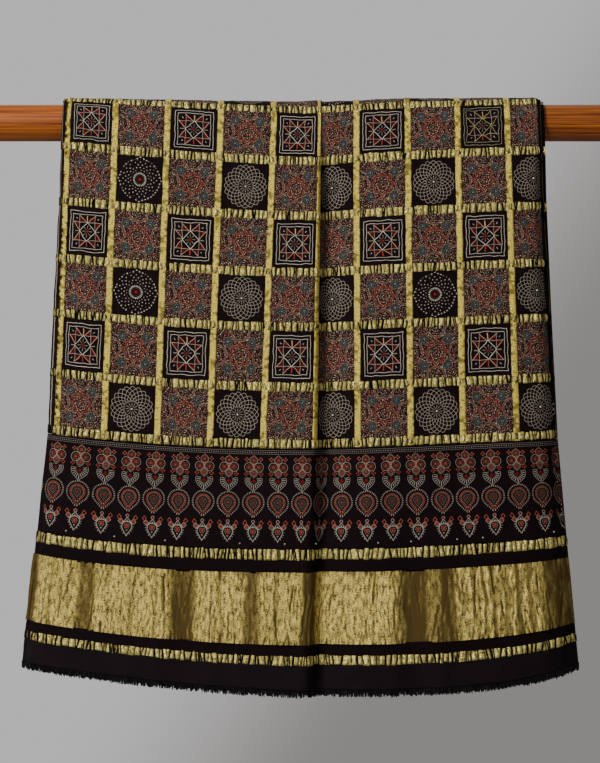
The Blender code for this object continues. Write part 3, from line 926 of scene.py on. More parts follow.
def gold_tissue(name, light, deep, gap, roughness, thread_mm, streak):
    """Silk woven with flat gilt strip: metallic, with small painted glints on its raised threads,
    small specks of painted shade, and painted shade nearly black in the gap colour down in
    its folds, where its attribute of painted shade is 1. Streak is how many patches of
    tone there are to a millimetre, across and along."""
    made, tree = material(name)
    flat = add(tree, "ShaderNodeUVMap", uv_map="cloth_mm")
    clouds = noise(vectors("MULTIPLY", flat, (*streak, 0.0)), 1.0, 3.0)
    gilt = mixed(ranged(clouds, 0.36, 0.62), deep, light)
    specks = noise(flat, 0.8, 2.0)
    # Painted glints: small spots mixed towards pale gold. Painted shade: small dark specks in the
    # gap colour.
    painted_glints = mixed(ranged(specks, 0.52, 0.66, 0.0, 0.9), gilt, "#FFF09A")
    painted_pit_shade = mixed(ranged(specks, 0.45, 0.32, 0.0, 0.50), painted_glints, gap)
    # This attribute holds how much shade is painted in; at 1 the colour is the gap colour.
    painted_shade = add(tree, "ShaderNodeAttribute", attribute_name="painted_shade").outputs["Fac"]
    shade = ranged(painted_shade, 0.08, 0.72)
    raised = maths("MULTIPLY_ADD", specks, 3.0, weave(flat, thread_mm))
    fill(tree.nodes["Principled BSDF"], {
        "Base Color": mixed(shade, painted_pit_shade, gap), "Metallic": ranged(shade, 0.3, 0.9, 0.70, 0.1),
        "Roughness": ranged(shade, 0.0, 0.8, roughness, 0.85),
        "Normal": bumped(raised, 0.6, 0.00018), "Specular IOR Level": 0.1})
    return made


def field_line(flats, step_front, step_behind):
    """Rows of places along the cloth from its back edge to the field's lower seam."""
    radius = rod_radius(flats)[None, :]
    behind = spaced((BACK_DROP, 0.0, step_behind))[:-1]
    turns = spaced((1.0, 0.0, step_behind / (math.pi * INNER_RADIUS)))[:-1]
    shown = spaced((0.0, FIELD_DROP - 2 * SEAM_HALF, step_front))
    return np.concatenate((
        -np.pi * radius - behind[:, None], -np.pi * radius * turns[:, None],
        np.broadcast_to(shown[:, None], (len(shown), len(flats)))))


def joined(name, pieces):
    """One object from several that share their materials."""
    with bpy.context.temp_override(
            active_object=pieces[0], selected_editable_objects=pieces, object=pieces[0]):
        bpy.ops.object.join()
    pieces[0].name = name
    pieces[0].data.name = name
    return pieces[0]


tape_gold = gold_tissue("flat_gold_tape", "#F6DC66", "#BA9C38", "#2A2009", 0.42, 0.8, (0.9, 0.9))
tape_pieces = []
for number, middle in enumerate(TAPES):
    across, *steps = TAPE_SHOWN if 0 <= middle <= RIGHT_FOLD else TAPE_HIDDEN
    offsets = np.linspace(-TAPE_WIDTH / 2, TAPE_WIDTH / 2, across)
    to_edge = abs(offsets) / (TAPE_WIDTH / 2)
    along = field_line(middle + offsets, *steps)
    grid = np.broadcast_to((middle + offsets)[None, :], along.shape)
    rows = row_at_along(grid, along)
    pucker = uneven(rows / 0.0023 + 13 * number, grid / 0.0030, seed=7)
    pucker = 0.6 * pucker + 0.4 * uneven(rows / 0.006 + 5 * number, grid / 0.0044, seed=8)
    crown = 1 - to_edge ** 4
    lift = FACE_LIFT + TAPE_LIFT + (0.00030 + 0.00028 * pucker) * crown[None, :]
    wander = 0.0003 * uneven(rows / 0.013, np.full_like(rows, number), seed=9)
    # Painted shade: darker in the hollows of the puckers and along both edges. The first tape also
    # gets uneven dark bites along its left half.
    painted_shade = np.clip(0.02 - pucker * 1.2, 0, 0.5) + 0.22 * to_edge ** 6
    if number == 0:
        bites = np.clip(1.6 * uneven(rows / 0.0032, grid / 0.0050, seed=10) + 0.5, 0, 1)
        painted_shade = np.clip(painted_shade + bites * np.clip(-offsets / BITE_DEPTH, 0, 1)[None, :], 0, 1)
    points = cloth(grid + wander, along, lift)
    tape_pieces.append(woven("tape", points, grid, rows, {"painted_shade": painted_shade}))
tapes = joined("gold_tapes", tape_pieces)
tapes.data.materials.append(tape_gold)
thickened(tapes, TAPE_THICKNESS)
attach(tapes, "root")


# ---- Gathered gold tapes --------------------------------------------------------------
# Gold tissue ribbon gathered into small uneven pleats, sewn across the cloth over each
# seam between rows, and once more in wider runs above and below the tissue band.
GATHERED_WIDTH = 0.0090
GATHERED_LIFT = 0.0004
PLEAT_WIDTHS = (0.0026, 0.0070)
NARROW_PLEAT = PLEAT_WIDTHS[0] * 0.7
WIDE_PLEATS = 0.8
GAP_SPANS = (
    # slant, depth and width of a gap between pleats, each from and to
    (-0.18, 0.18), (0.7, 1.15), (0.0008, 0.0020),
)
PLEAT_SPANS = (
    # tilt, dullness and length of a pleat, each from and to
    (-1, 1), (-0.12, 0.22), (0.82, 1.07),
)
PLEAT_HEIGHT = 0.0015
PLEAT_ROUNDING = 0.0019
KNOT_REACH = 0.0026
CROSSING_SHADE_REACH = 0.0050
PLEAT_SEED = 40
# Points across a gathered tape, and its steps along it.
ROW_SHOWN = (7, 0.00072)
ROW_HIDDEN = (5, 0.0013)
ROW_HIDDEN_STEP = 0.0030
LAST_ROW_RAISED = 0.0004


def pleats_across(chance, start, end):
    """Middles of the gaps between pleats, with each gap's slant, depth and width."""
    gaps, place = [], start
    while place < end:
        gaps.append((place, *(chance.uniform(*span) for span in GAP_SPANS)))
        wide = chance.uniform(*PLEAT_WIDTHS)
        place += wide if chance.random() < WIDE_PLEATS else NARROW_PLEAT
    return np.array(gaps)


def at_tapes(flats, reach):
    """1 on the middles of the flat tapes and 0 away from them."""
    away = np.min(abs(flats[..., None] - np.array(TAPES)), axis=-1)
    return np.exp(-(away / reach) ** 2)


def gathered(name, chance, flats, rows_across, along_of, width, crossed=True):
    """One gathered tape: along_of gives its places along the cloth. Crossed ones are sewn
    down over the flat tapes, which pinches them there, with spots of painted shade."""
    base_lift = FACE_LIFT + GATHERED_LIFT
    gaps = pleats_across(chance, flats[0] - 0.003, flats[-1] + 0.003)
    shares = np.linspace(-1, 1, rows_across)
    grid, share = np.broadcast_arrays(flats[None, :], shares[:, None])
    slanted = grid[..., None] - gaps[:, 0] - gaps[:, 1] * share[..., None] * width / 2
    nearest = np.argmin(abs(slanted), axis=-1)
    away = np.take_along_axis(slanted, nearest[..., None], -1)[..., 0]
    open_width = gaps[nearest, 3] * (1 - 0.35 * share ** 2)
    gap = gaps[nearest, 2] * np.exp(-(away / (open_width * 0.5)) ** 2)
    pleat = np.searchsorted(gaps[:, 0], flats)
    tilts, dull, ends = (
        np.array([chance.uniform(*span) for _ in range(len(gaps) + 2)])[pleat][None, :]
        for span in PLEAT_SPANS)
    crown = np.clip(1 - abs(share) ** 5, 0, 1)
    rounded = 1 - np.exp(-(away / PLEAT_ROUNDING) ** 2)
    lift = base_lift + PLEAT_HEIGHT * crown * (
        0.25 + 0.75 * rounded + 0.16 * tilts * np.sin(away / 0.0016) - 0.25 * gap)
    lift = lift + 0.00016 * uneven(grid / 0.0012, share * 2.0 + 7, seed=11)
    half = width / 2 * ends * (1 - 0.12 * gap)
    turned = eased((-0.002 - grid) / 0.006) * (grid > LEFT_FOLD - FOLD_TURN * 2)
    if crossed:
        knot = at_tapes(grid, KNOT_REACH)
        # Painted shade: dark spots where the ribbon crosses a flat tape.
        crossing_shade = np.clip(uneven(grid / 0.0016, share * 2.2, seed=12) - 0.1, 0, 1)
        crossing_shade = crossing_shade * at_tapes(grid, CROSSING_SHADE_REACH)
        lift = lift + 0.0005 * knot * crown
        half = half * (1 - 0.10 * knot)
        gap = np.clip(gap * (1 - 0.6 * knot) + 0.8 * crossing_shade * (0.3 + 0.7 * abs(share)), 0, 1)
    lift = base_lift + (lift - base_lift) * (1 - 0.75 * turned)
    # Painted shade: the gaps between pleats, a brown band down each pleat's right flank, the
    # ribbon's upper and lower edges and where it turns round the left side, with each pleat's
    # random dullness added; the plain black edge at the right is laid over it.
    painted_flank_shade = 0.42 * np.exp(-((away + 0.0012) / 0.0008) ** 2) * (0.6 + 0.4 * tilts)
    painted_shade = gap + painted_flank_shade + np.clip(dull, 0, 1) + 0.18 * abs(share) ** 4 + 0.40 * turned
    along = along_of(grid) + share * half
    painted_shade = np.maximum(np.clip(painted_shade, 0, 1), black_edge(grid, along))
    return woven(name, cloth(grid, along, lift), grid, along, {"painted_shade": painted_shade})


def ribbon_places(step, hidden_step, last_step):
    """Places across the whole cloth for a gathered ribbon, close together where it shows."""
    last = LAST_EDGE - LAST_SHOWN
    return spaced(
        (FLAP_EDGE, LEFT_FOLD - FOLD_TURN, hidden_step),
        (LEFT_FOLD - FOLD_TURN, RIGHT_FOLD + FOLD_TURN, step),
        (RIGHT_FOLD + FOLD_TURN, last, hidden_step), (last, LAST_EDGE, last_step))


chance = random.Random(PLEAT_SEED)
strip_gold = gold_tissue(
    "gathered_gold_ribbon", "#FFEE90", "#7E6422", "#080502", 0.27, 0.9, (0.6, 0.2))
strip_pieces = []
for row in ROWS:
    rows_across, step = ROW_SHOWN if row >= ROWS_FRONT[0] else ROW_HIDDEN
    if row == ROWS_FRONT[-1]:
        row -= LAST_ROW_RAISED
    strip_pieces.append(gathered(
        "strip", chance, ribbon_places(step, ROW_HIDDEN_STEP, step), rows_across,
        lambda grid, row=row: along_at_row(grid, row), GATHERED_WIDTH))
strips = joined("gathered_gold_tapes", strip_pieces)
strips.data.materials.append(strip_gold)
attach(strips, "root")


# ---- Printed border -------------------------------------------------------------------
# A panel of black silk under the field, block-printed with a row of upright flowers: a
# twisted line on top, a lobed bud, a crown, a ringed drop, and a tulip between leaves.
BORDER_DROP = 0.4266
SEAM_ALLOWANCE = 0.0015
MOTIF_PITCH = 0.0245
MOTIF_START = 0.0025
TWISTED_LINE_MM = 3.7
TWISTS = 11
BUD_LOBES_MM = ((0.0, 11.7), (4.9, 18.7), (0.0, 24.0), (0.0, 17.2))


def drop_shaped(x, y, middle, lean, up=1.0):
    """A distance round a point that runs straight along its sides to a tip, and the angle.
    The tip hangs down, or stands up when up is -1."""
    down = maths("MULTIPLY_ADD", y, up, -up * middle)
    distance, angle = around(point(x, down))
    corner = point(maths("ABSOLUTE", x), down)
    sine, cosine = math.sin(lean), math.cos(lean)
    slanted = vectors("DOT_PRODUCT", corner, (cosine, sine, 0.0))
    in_tip = maths("GREATER_THAN", vectors("DOT_PRODUCT", corner, (-sine, cosine, 0.0)), 0.0)
    shaped = {0: in_tip, 2: distance, 3: slanted}
    return add(in_tip.id_data, "ShaderNodeMix", shaped, data_type="FLOAT"), angle


def stripes(angle, count, cover):
    """Ink on count equal rays round a point, with cover from -1, all, to 1, none."""
    return ranged(rays(angle, count), cover - 0.25, cover + 0.25)


def flower_border(tree):
    """One upright flower of the border, 24.5 mm wide, measured down from the seam."""
    x, y, _ = split(hand_set(tree, 0.9, 7.0))
    across = maths("ABSOLUTE", x)
    folded = point(across, y)

    def away(*middle):
        """The distance from a place on either side of the flower."""
        return vectors("DISTANCE", folded, (*middle, 0.0))

    def from_place(*middle):
        """Places measured from one on either side of the flower."""
        return vectors("SUBTRACT", folded, (*middle, 0.0))

    def lozenge(*middle, tall=1.0):
        """A distance that is equal all round an upright diamond."""
        aside, down, _ = split(vectors("ABSOLUTE", from_place(*middle)))
        return maths("MULTIPLY_ADD", down, 1 / tall, aside)

    level = maths("SUBTRACT", y, TWISTED_LINE_MM)
    bead = vectors("LENGTH", point(maths("PINGPONG", x, MOTIF_PITCH * 1000 / TWISTS / 2), level))
    lobes = least(*(away(*middle) for middle in BUD_LOBES_MM))
    side = away(*BUD_LOBES_MM[1])
    arch, _ = drop_shaped(x, y, 11.8, 1.05, -1.0)
    foot, foot_angle = drop_shaped(x, y, 24.0, 0.83)
    upper_leaf, upper_angle = around(from_place(6.9, 10.9))
    lower_leaf, lower_angle = around(from_place(7.4, 25.3))
    crown, crown_angle = drop_shaped(x, y, 31.3, 0.86)
    under = within(y, 36.0, 7.0, 0.4)
    diamond = lozenge(0.0, 32.4)
    drop, _ = drop_shaped(x, y, 53.4, 0.63)
    halo, halo_angle = drop_shaped(x, y, 53.4, 0.80)
    blob = lozenge(6.1, 77.6)
    stem = vectors("DOT_PRODUCT", from_place(0.0, 73.6), (0.78, -0.62, 0.0))
    oval, oval_angle = drop_shaped(x, y, 82.4, 0.53)
    core = lozenge(0.0, 81.8, tall=2.0)
    colour = dyed(BLACK_SILK)(tree)
    for shape, reach, bands in (
            (lobes, 3.6, (
                (0.0, "#A0705C"), (0.45, BLACK_SILK), (1.1, "#9C4A34"), (1.5, BLACK_SILK),
                (2.5, "#8E4634"), (2.8, BLACK_SILK), (3.3, None))),
            (drop, 12.0, (
                (0.0, "#843024"), (0.9, BLACK_SILK), (1.7, "#84483A"), (2.0, "#0E2022"),
                (3.2, "#766E60"), (3.5, BLACK_SILK), (7.1, "#9C4030"), (7.55, BLACK_SILK),
                (8.6, None))),
            (oval, 6.0, ((0.0, BLACK_SILK), (4.5, None))),
            (diamond, 4.0, ((0.0, "#660C09"), (2.2, BLACK_SILK), (3.3, None)))):
        bands = rings(shape, reach, bands)
        colour = mixed(bands["Alpha"], colour, bands["Color"])
    return inked(tree, colour, (
        ("#7F786D", (maths("ABSOLUTE", level), 1.75, 0.14, 0.13)),
        ("#B5AD9C", (bead, 0.0, 0.34, 0.2)),
        ("#A69D8E", (arch, 3.8, 0.15, 0.13)),
        ("#A69D8E", (side, 4.5, 0.16, 0.13)),
        ("#978E80", (foot, 3.7, 0.15, 0.13)),
        ("#A87A68", (foot, 2.6, 0.3, 0.15), stripes(foot_angle, 12, 0.1)),
        ("#84382A", (away(0.0, 7.3), 0.0, 0.9, 0.2)),
        ("#A4543E", (upper_leaf, 1.5, 0.55, 0.2), stripes(upper_angle, 4, -0.1)),
        ("#9C4430", (lower_leaf, 1.5, 0.55, 0.2), stripes(lower_angle, 4, -0.1)),
        ("#A49C8D", under, (crown, 5.4, 1.9, 0.2), stripes(crown_angle, 20, 0.62)),
        ("#A69D8E", under, (crown, 8.3, 0.17, 0.14)),
        ("#B2A896", (halo, 10.4, 0.66, 0.2), stripes(halo_angle, 38, 0.66)),
        ("#A88874", (drop, 6.1, 0.34, 0.15), stripes(halo_angle, 30, 0.1)),
        ("#86503E", (drop, 4.9, 0.2, 0.12), stripes(halo_angle, 22, 0.1)),
        ("#A8503A", (lozenge(8.0, 73.4, tall=1.3), 1.9, 0.32, 0.15)),
        ("#B3A996", (blob, 2.6, 0.22, 0.15)),
        ("#962A1A", (blob, 0.0, 1.6, 0.2)),
        ("#A09686", (stem, 0.0, 0.26, 0.15), (across, 2.4, 2.4)),
        ("#A8786A", (away(0.0, 72.0), 1.4, 0.3, 0.15)),
        ("#B4AB9B", (oval, 4.75, 0.24, 0.15)),
        ("#90877A", (oval, 5.8, 0.8, 0.15), (y, 82.4, 7.4, 0.3), stripes(oval_angle, 16, 0.70)),
        ("#9A9080", (core, 2.6, 0.25, 0.15), stripes(oval_angle, 8, -0.2)),
        ("#9A3022", (core, 0.0, 1.5, 0.2)),
    ))


def panel_places(start, end, step, step_down, hidden_step=HIDDEN_STEP):
    """Places across a panel, and its rows from seam to seam."""
    rows = spaced((start + SEAM_HALF, end - SEAM_HALF, step_down))
    return across_places(step, hidden_step), rows


# The places across include every line midway between two flowers, where their prints meet.
border_flats, border_rows = panel_places(
    FIELD_DROP, BORDER_DROP + SEAM_ALLOWANCE, SHOWN_STEP, 0.0033)
motifs = np.arange(math.floor(FLAP_EDGE / MOTIF_PITCH), math.ceil(LAST_EDGE / MOTIF_PITCH) + 1)
motif_edges = MOTIF_START + (motifs + 0.5) * MOTIF_PITCH
motif_edges = motif_edges[(motif_edges > FLAP_EDGE + 0.002) & (motif_edges < LAST_EDGE - 0.002)]
clear_of = np.min(abs(border_flats[:, None] - motif_edges[None, :]), axis=1) > 0.0008
clear_of[0] = clear_of[-1] = True
border_flats = np.sort(np.concatenate((border_flats[clear_of], motif_edges)))
grid, along = np.meshgrid(border_flats, border_rows)
lift = FACE_LIFT + 0.0006 * uneven(grid / 0.030, along / 0.030, seed=15)
lift = lift + 0.0003 * uneven(grid / 0.008, along / 0.022, seed=16)
border = woven("printed_border_silk", cloth(grid, along, lift), grid, along)
border.data.materials.append(silk("flower_border_silk", flower_border))
nearest = np.round((face_middles(grid) - MOTIF_START) / MOTIF_PITCH)
mapped(border.data, "square_mm", (grid, along), (MOTIF_START + nearest * MOTIF_PITCH, FIELD_DROP))
thickened(border, SILK_THICKNESS)
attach(border, "root")
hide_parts("print_border")


# ---- Gathered strips by the tissue ----------------------------------------------------
# Two wider runs of the same gathered gold ribbon, one over the tissue band and one under
# it, each between two seams and each parted from the tissue by a plain black band.
UPPER_STRIP = (0.4266, 0.4373)
LOWER_STRIP = (0.5309, 0.5406)
RIBBON_POINTS = 9
RIBBON_STEPS = (ROW_SHOWN[1], 0.0024, 0.0008)
for label, node, (start, end) in (
        ("upper_gathered_strip", "upper_ruched_strip", UPPER_STRIP),
        ("lower_gathered_strip", "lower_ruched_strip", LOWER_STRIP)):
    piece = gathered(
        label, chance, ribbon_places(*RIBBON_STEPS), RIBBON_POINTS,
        lambda grid, at=(start + end) / 2: np.full(grid.shape, at), end - start, False)
    piece.data.materials.append(strip_gold)
    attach(piece, "root")
    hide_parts(node)


# ---- Black bands and hem --------------------------------------------------------------
# Plain black silk: a narrow band on each side of the tissue, and a deeper hem that is
# turned up and held by one line of stitching above the frayed edge.
UPPER_BAND = (0.4373, 0.4491)
TISSUE_BAND = (0.4491, 0.5203)
LOWER_BAND = (0.5203, 0.5309)
HEM_BAND = (0.5406, HEM_DROP)
BAND_STEP = 0.0028

plain_black = silk("plain_black_band_silk", dyed(BLACK_SILK), 0.80)
hem_black = silk("black_hem_silk", dyed("#160E11"), 0.80)
for label, node, (start, end), step_down in (
        ("upper_black_silk_band", "upper_black_band", UPPER_BAND, 0.0024),
        ("lower_black_silk_band", "lower_black_band", LOWER_BAND, 0.0021),
        ("black_silk_hem", "hem_band", HEM_BAND, 0.0025)):
    below = 0 if node == "hem_band" else SEAM_ALLOWANCE
    flats, rows = panel_places(start - SEAM_ALLOWANCE, end + below, BAND_STEP, step_down)
    grid, along = np.meshgrid(flats, rows)
    lift = FACE_LIFT + 0.0005 * uneven(grid / 0.011, along / 0.016, seed=21)
    if node == "hem_band":
        lift = lift + 0.0006 * uneven(grid / 0.024, along / 0.030, seed=22)
    piece = woven(label, cloth(grid, along, lift), grid, along)
    piece.data.materials.append(hem_black if node == "hem_band" else plain_black)
    thickened(piece, SILK_THICKNESS)
    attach(piece, "root")
    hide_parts(node)


# ---- Tissue band ----------------------------------------------------------------------
# A wide band of thin gold tissue, crushed into fine upright crinkles. Its larger troughs
# lie where the cloth bends in, and both seams pull it into short puckers. Troughs and
# creases are darkened with painted shade, and the lips beside the creases lightened with
# painted highlight.
TISSUE_TROUGHS = (
    # flat, half width, how deep, how dark its painted shade is
    (-0.0080, 0.010, 0.0006, 0.75),
    (0.0426, 0.015, 0.0014, 0.62),
    (0.0120, 0.003, 0.0003, 0.35),
    (0.0850, 0.005, 0.0005, 0.25),
    (0.1080, 0.004, 0.0004, 0.30),
    (0.1334, 0.024, 0.0020, 0.66),
    (0.1700, 0.003, 0.0003, 0.40),
    (0.1980, 0.014, 0.0014, 0.62),
    (0.2220, 0.004, 0.0003, 0.35),
    (0.2590, 0.020, 0.0012, 0.74),
    (0.3645, 0.026, 0.0022, 0.80),
    (0.3830, 0.012, 0.0004, 0.52),
    (0.3950, 0.016, 0.0010, 0.72),
    (0.4290, 0.003, 0.0004, 0.55),
    (0.4380, 0.003, 0.0004, 0.45),
    (0.4500, 0.006, 0.0006, 0.45),
    (0.4610, 0.004, 0.0004, 0.60),
    (0.4720, 0.004, 0.0004, 0.50),
    (0.4980, 0.024, 0.0010, 0.72),
    (0.5160, 0.018, 0.0006, 0.68),
)
TISSUE_SEED = 61
TISSUE_STEPS = (0.0008, 0.0021, 0.0040)
CREASE_OVERRUN = 0.004
# How the creases of painted shade are spread: how far apart, which end of the band they
# start from, shortest, longest, strength.
TISSUE_CREASES = (
    (0.0130, "anywhere", 0.018, 0.046, 1.00),
    (0.0040, "anywhere", 0.006, 0.022, 0.50),
    (0.0042, "top", 0.004, 0.015, 0.85),
    (0.0034, "bottom", 0.004, 0.017, 0.95),
)


def creases(chance):
    """Upright creases as the place across, start, end, lean, half width and strength."""
    found = []
    top, bottom = TISSUE_BAND
    for pitch, end, shortest, longest, strength in TISSUE_CREASES:
        place = LEFT_FOLD
        while place < RIGHT_FOLD:
            length = chance.uniform(shortest, longest)
            highest, lowest = top - CREASE_OVERRUN, bottom + CREASE_OVERRUN - length
            start = {"top": highest, "bottom": lowest,
                     "anywhere": chance.uniform(highest, lowest)}[end]
            found.append((place, start, start + length, chance.uniform(-0.22, 0.12),
                          chance.uniform(0.00050, 0.00105), strength * chance.uniform(0.45, 1.0)))
            place += pitch * chance.uniform(0.4, 1.6)
    return found


flats, rows = panel_places(*TISSUE_BAND, *TISSUE_STEPS)
grid, along = np.meshgrid(flats, rows)
wander = grid + 0.0016 * uneven(grid / 0.015, along / 0.024, seed=30)
deep, dark = np.zeros(grid.shape), np.zeros(grid.shape)
bend = 0.0008 * uneven(grid / 0.004, along / 0.009, seed=29)
for middle, half_width, depth, shade in TISSUE_TROUGHS:
    bent = abs(wander + bend - middle) / half_width
    deep += depth * (1 - eased(bent))
    dark = np.maximum(dark, shade * (1 - eased((bent - 0.30) / 0.45)))
lines, lips = np.zeros(grid.shape), np.zeros(grid.shape)
for number, (place, start, end, lean, half_width, strength) in enumerate(
        creases(random.Random(TISSUE_SEED))):
    path = place + lean * (along - start)
    path = path + 0.0007 * uneven(along / 0.005 + 3 * number, 0 * grid, seed=36)
    away = (grid - path) / half_width
    here = strength * eased((along - start) / CREASE_OVERRUN)
    here = here * eased((end - along) / CREASE_OVERRUN)
    lines = np.maximum(lines, here * np.exp(-away ** 2))
    lips = np.maximum(lips, here * np.exp(-((abs(away) - 2.2) / 1.2) ** 2))
broad = uneven(wander / 0.0085, along / 0.034, seed=31)
narrow = uneven(wander / 0.0034, along / 0.016, seed=32)
grain = uneven(grid / 0.0013, along / 0.0019, seed=33)
open_cloth = 1 - 0.8 * dark
lift = FACE_LIFT + 0.0016 - deep + open_cloth * (
    0.0013 * broad + 0.0007 * narrow + 0.00010 * grain + 0.0006 * lips) - 0.0010 * lines
# Painted shade: the troughs, the creases, the high parts of the broad swells and the low spots of
# the fine grain; the lips beside the creases get painted highlight, which takes shade away.
painted_shade = dark * (0.95 + 0.22 * narrow) + open_cloth * (
    lines + 0.06 * np.clip(-grain, 0, 1) + 0.20 * np.clip(broad, 0, 1) - 0.25 * lips)
painted_shade = np.clip(painted_shade, 0, 0.95)
tissue = woven("crinkled_gold_tissue", cloth(grid, along, lift), grid, along, {"painted_shade": painted_shade})
tissue.data.materials.append(gold_tissue(
    "crinkled_gold_tissue", "#ECD070", "#5A4616", "#554420", 0.30, 0.7, (0.42, 0.13)))
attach(tissue, "root")
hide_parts("tissue_band")


# ---- Frayed edge ----------------------------------------------------------------------
# The hem's lowest threads are pulled out and left to hang as a thin, uneven fringe. They
# stand close together along the edge, lean a little each way and cling in small tufts.
FRINGE_PITCH = 0.00050
FRINGE_LENGTHS = (0.0056, 0.0074)
FRINGE_LEAN = 0.16
FRINGE_WIDTH = 0.00150
FRINGE_SEED = 52
FRINGE_OVERLAP = 0.0006


def plain_material(name, looks):
    """A material of one colour, with the looks its shader's inputs are given."""
    made, tree = material(name)
    fill(tree.nodes["Principled BSDF"], looks)
    return made


def points_object(name, points, edges=()):
    """An object of points, with or without edges between them."""
    mesh = bpy.data.meshes.new(name)
    mesh.from_pydata(points.tolist(), edges, [])
    return linked(name, mesh)


def path_object(name, points):
    """A line of joined edges through points."""
    return points_object(name, points, [(k, k + 1) for k in range(len(points) - 1)])


def grown(source, name, group, **inputs):
    """The mesh a node group makes from an object, as an object of its own."""
    holder = source.modifiers.new("grow", "NODES")
    holder.node_group = group
    for item in group.interface.items_tree:
        if item.item_type == "SOCKET" and item.in_out == "INPUT" and item.name in inputs:
            holder[item.identifier] = inputs[item.name]
    source.update_tag()
    bpy.context.view_layer.update()
    mesh = bpy.data.meshes.new_from_object(
        source.evaluated_get(bpy.context.evaluated_depsgraph_get()))
    source.modifiers.remove(holder)
    mesh.name = name
    bpy.data.objects.remove(source)
    return linked(name, mesh)


def node_group(name, **sockets):
    """An empty node group that turns geometry into geometry, and its named inputs."""
    group = bpy.data.node_groups.new(name, "GeometryNodeTree")
    for label, kind in {"Geometry": "Geometry", **sockets}.items():
        group.interface.new_socket(label, in_out="INPUT", socket_type="NodeSocket" + kind)
    group.interface.new_socket("Geometry", in_out="OUTPUT", socket_type="NodeSocketGeometry")
    return group, add(group, "NodeGroupInput").outputs


def spots_along(group, given):
    """Evenly spaced points on the line that a node group is given."""
    line = add(group, "GeometryNodeMeshToCurve", (given["Geometry"],))
    return add(group, "GeometryNodeCurveToPoints", {
        "Curve": line, "Length": given["Spacing"]}, mode="LENGTH").outputs


def repeated(group, stuff, inputs):
    """Ends a node group: an instance on each point, made real, in its material."""
    placed = add(group, "GeometryNodeInstanceOnPoints", inputs)
    real = add(group, "GeometryNodeRealizeInstances", (placed,))
    dressed = add(group, "GeometryNodeSetMaterial", {"Geometry": real, "Material": stuff})
    add(group, "NodeGroupOutput", (dressed,))
    return group


def strands_along(stuff):
    """Thin pointed threads that hang from a line, of uneven length and lean."""
    group, given = node_group(
        "hanging_threads", Spacing="Float", Shortest="Float", Longest="Float", Lean="Float",
        Width="Float", Seed="Int")
    thread = add(group, "GeometryNodeMeshCone", {
        "Vertices": 3, "Side Segments": 2, "Radius Top": 0.30, "Radius Bottom": 0.5, "Depth": 1.0},
        fill_type="NONE")
    hung = add(group, "GeometryNodeTransform", {
        "Geometry": thread.outputs["Mesh"], "Rotation": (math.pi, 0.0, 0.0)})
    lean = add(group, "FunctionNodeRandomValue", {
        0: (-1.0, -0.5, 0.0), 1: (1.0, 0.5, math.tau), "Seed": given["Seed"]},
        data_type="FLOAT_VECTOR")
    length = add(group, "FunctionNodeRandomValue", {
        2: given["Shortest"], 3: given["Longest"], "Seed": given["Seed"]}, data_type="FLOAT")
    clump = add(group, "ShaderNodeTexNoise", {"Scale": 330.0, "Detail": 2.0})
    tuft = ranged(clump.outputs[0], 0.30, 0.50, 0.55, 1.02)
    long = maths("MULTIPLY", length.outputs[1], tuft)
    return repeated(group, stuff, {
        "Points": spots_along(group, given)["Points"], "Instance": hung,
        "Rotation": vectors("MULTIPLY", lean.outputs[0], given["Lean"]),
        "Scale": add(group, "ShaderNodeCombineXYZ", (given["Width"], given["Width"], long))})


thread_black = plain_material("black_silk_thread", {
    "Base Color": "#0E0A0A", "Roughness": 0.7, "Specular IOR Level": 0.3})
edge_flats = across_places(0.0015, 0.0030)
edge_line = cloth(edge_flats, np.full_like(edge_flats, HEM_DROP - FRINGE_OVERLAP), 0.0)
fringe = grown(
    path_object("hem_edge", edge_line), "frayed_edge", strands_along(thread_black),
    Spacing=FRINGE_PITCH, Shortest=FRINGE_LENGTHS[0], Longest=FRINGE_LENGTHS[1],
    Lean=FRINGE_LEAN, Width=FRINGE_WIDTH, Seed=FRINGE_SEED)
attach(fringe, "root")
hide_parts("fringe")


# ---- Beads and sequins ----------------------------------------------------------------
# A small white glass bead sewn to the middle of every lined rosette, and a few silvered
# sequins sewn just above the border's lower seam.
BEAD_RADIUS = 0.0009
BEAD_LIFT = 0.0012
SEQUIN_RADIUS = 0.0009
SEQUIN_DROP = 0.4213
SEQUIN_LIFT = 0.0008
SEQUINS = (0.0202, 0.065, 0.1139, 0.1861, 0.2305, 0.2656, 0.3311, 0.3626, 0.4067, 0.4312, 0.5009)


def beads_on_points(stuff):
    """A low round bead on each point of a mesh."""
    group, given = node_group("sewn_beads", Radius="Float")
    ball = add(group, "GeometryNodeMeshUVSphere", {"Segments": 10, "Rings": 6, "Radius": 1.0})
    return repeated(group, stuff, {
        "Points": given["Geometry"], "Instance": ball.outputs["Mesh"], "Scale": given["Radius"]})


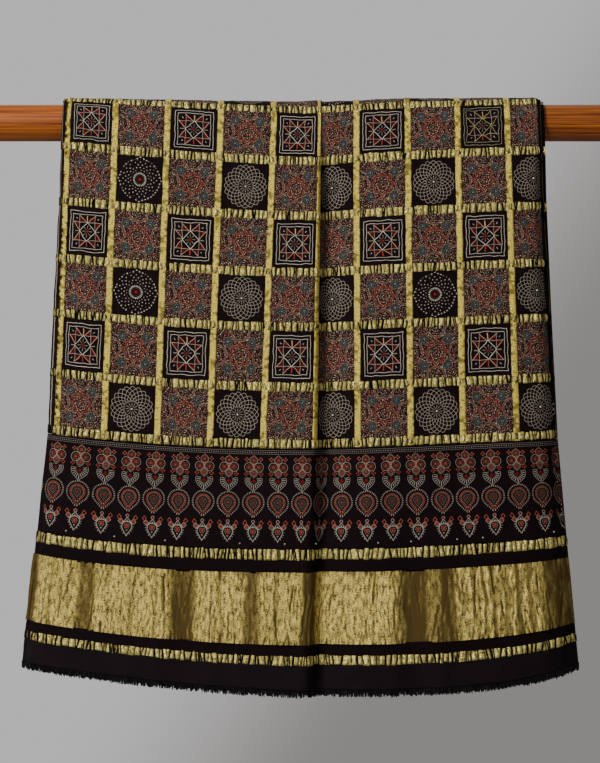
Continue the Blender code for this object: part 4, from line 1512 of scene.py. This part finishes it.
bead_places = []
for column, (left, right) in enumerate(zip(TAPES[:-1], TAPES[1:])):
    for line, (above, below) in enumerate(zip(ROWS[:-1], ROWS[1:])):
        if print_of(column, line - ROWS_BEHIND) == LINES and (left + right) / 2 < RIGHT_FOLD:
            bead_places.append(((left + right) / 2, (above + below) / 2))
bead_flats, bead_rows = np.array(bead_places).T
bead_points = cloth(bead_flats, along_at_row(bead_flats, bead_rows), FACE_LIFT + BEAD_LIFT)
bead_glass = plain_material("white_glass_bead", {
    "Base Color": "#E9E6DF", "Metallic": 0.0, "Roughness": 0.2})
beads = grown(points_object("bead_places", bead_points), "rosette_beads",
              beads_on_points(bead_glass), Radius=BEAD_RADIUS)
sequin_points = cloth(
    np.array(SEQUINS), np.full(len(SEQUINS), SEQUIN_DROP), FACE_LIFT + SEQUIN_LIFT)
sequin_foil = plain_material("silvered_foil", {
    "Base Color": "#CFC8B8", "Metallic": 0.6, "Roughness": 0.3})
sequins = grown(points_object("sequin_places", sequin_points), "border_sequins",
                beads_on_points(sequin_foil), Radius=SEQUIN_RADIUS)
for piece in (beads, sequins):
    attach(piece, "root")


# ---- Stitching ------------------------------------------------------------------------
# Fine running stitches in black thread hold the hem's turning and run beside the
# tissue's two seams.
STITCH_LENGTH = 0.0016
STITCH_SPACING = 0.0026
STITCH_THICKNESS = 0.00018
STITCH_LINES = (
    # drop, lift
    (0.5558, 0.0007),
    (0.4311, 0.0014),
    (0.5357, 0.0014),
)


def stitches_along(stuff):
    """Short rounded stitches end to end along a line."""
    group, given = node_group(
        "running_stitches", Spacing="Float", Length="Float", Thickness="Float")
    spots = spots_along(group, given)
    ball = add(group, "GeometryNodeMeshUVSphere", {"Segments": 6, "Rings": 4, "Radius": 0.5})
    thick, long = given["Thickness"], given["Length"]
    return repeated(group, stuff, {
        "Points": spots["Points"], "Instance": ball.outputs["Mesh"], "Rotation": spots["Rotation"],
        "Scale": add(group, "ShaderNodeCombineXYZ", (thick, thick, long))})


stitch_flats = spaced((LEFT_FOLD - FOLD_TURN, RIGHT_FOLD + FOLD_TURN, 0.0015))
stitch_group = stitches_along(thread_black)
stitch_pieces = []
for drop, lift in STITCH_LINES:
    points = cloth(stitch_flats, np.full_like(stitch_flats, drop), FACE_LIFT + lift)
    stitch_pieces.append(grown(
        path_object("stitch_line", points), "stitches", stitch_group,
        Spacing=STITCH_SPACING, Length=STITCH_LENGTH, Thickness=STITCH_THICKNESS))
stitches = joined("running_stitches", stitch_pieces)
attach(stitches, "root")
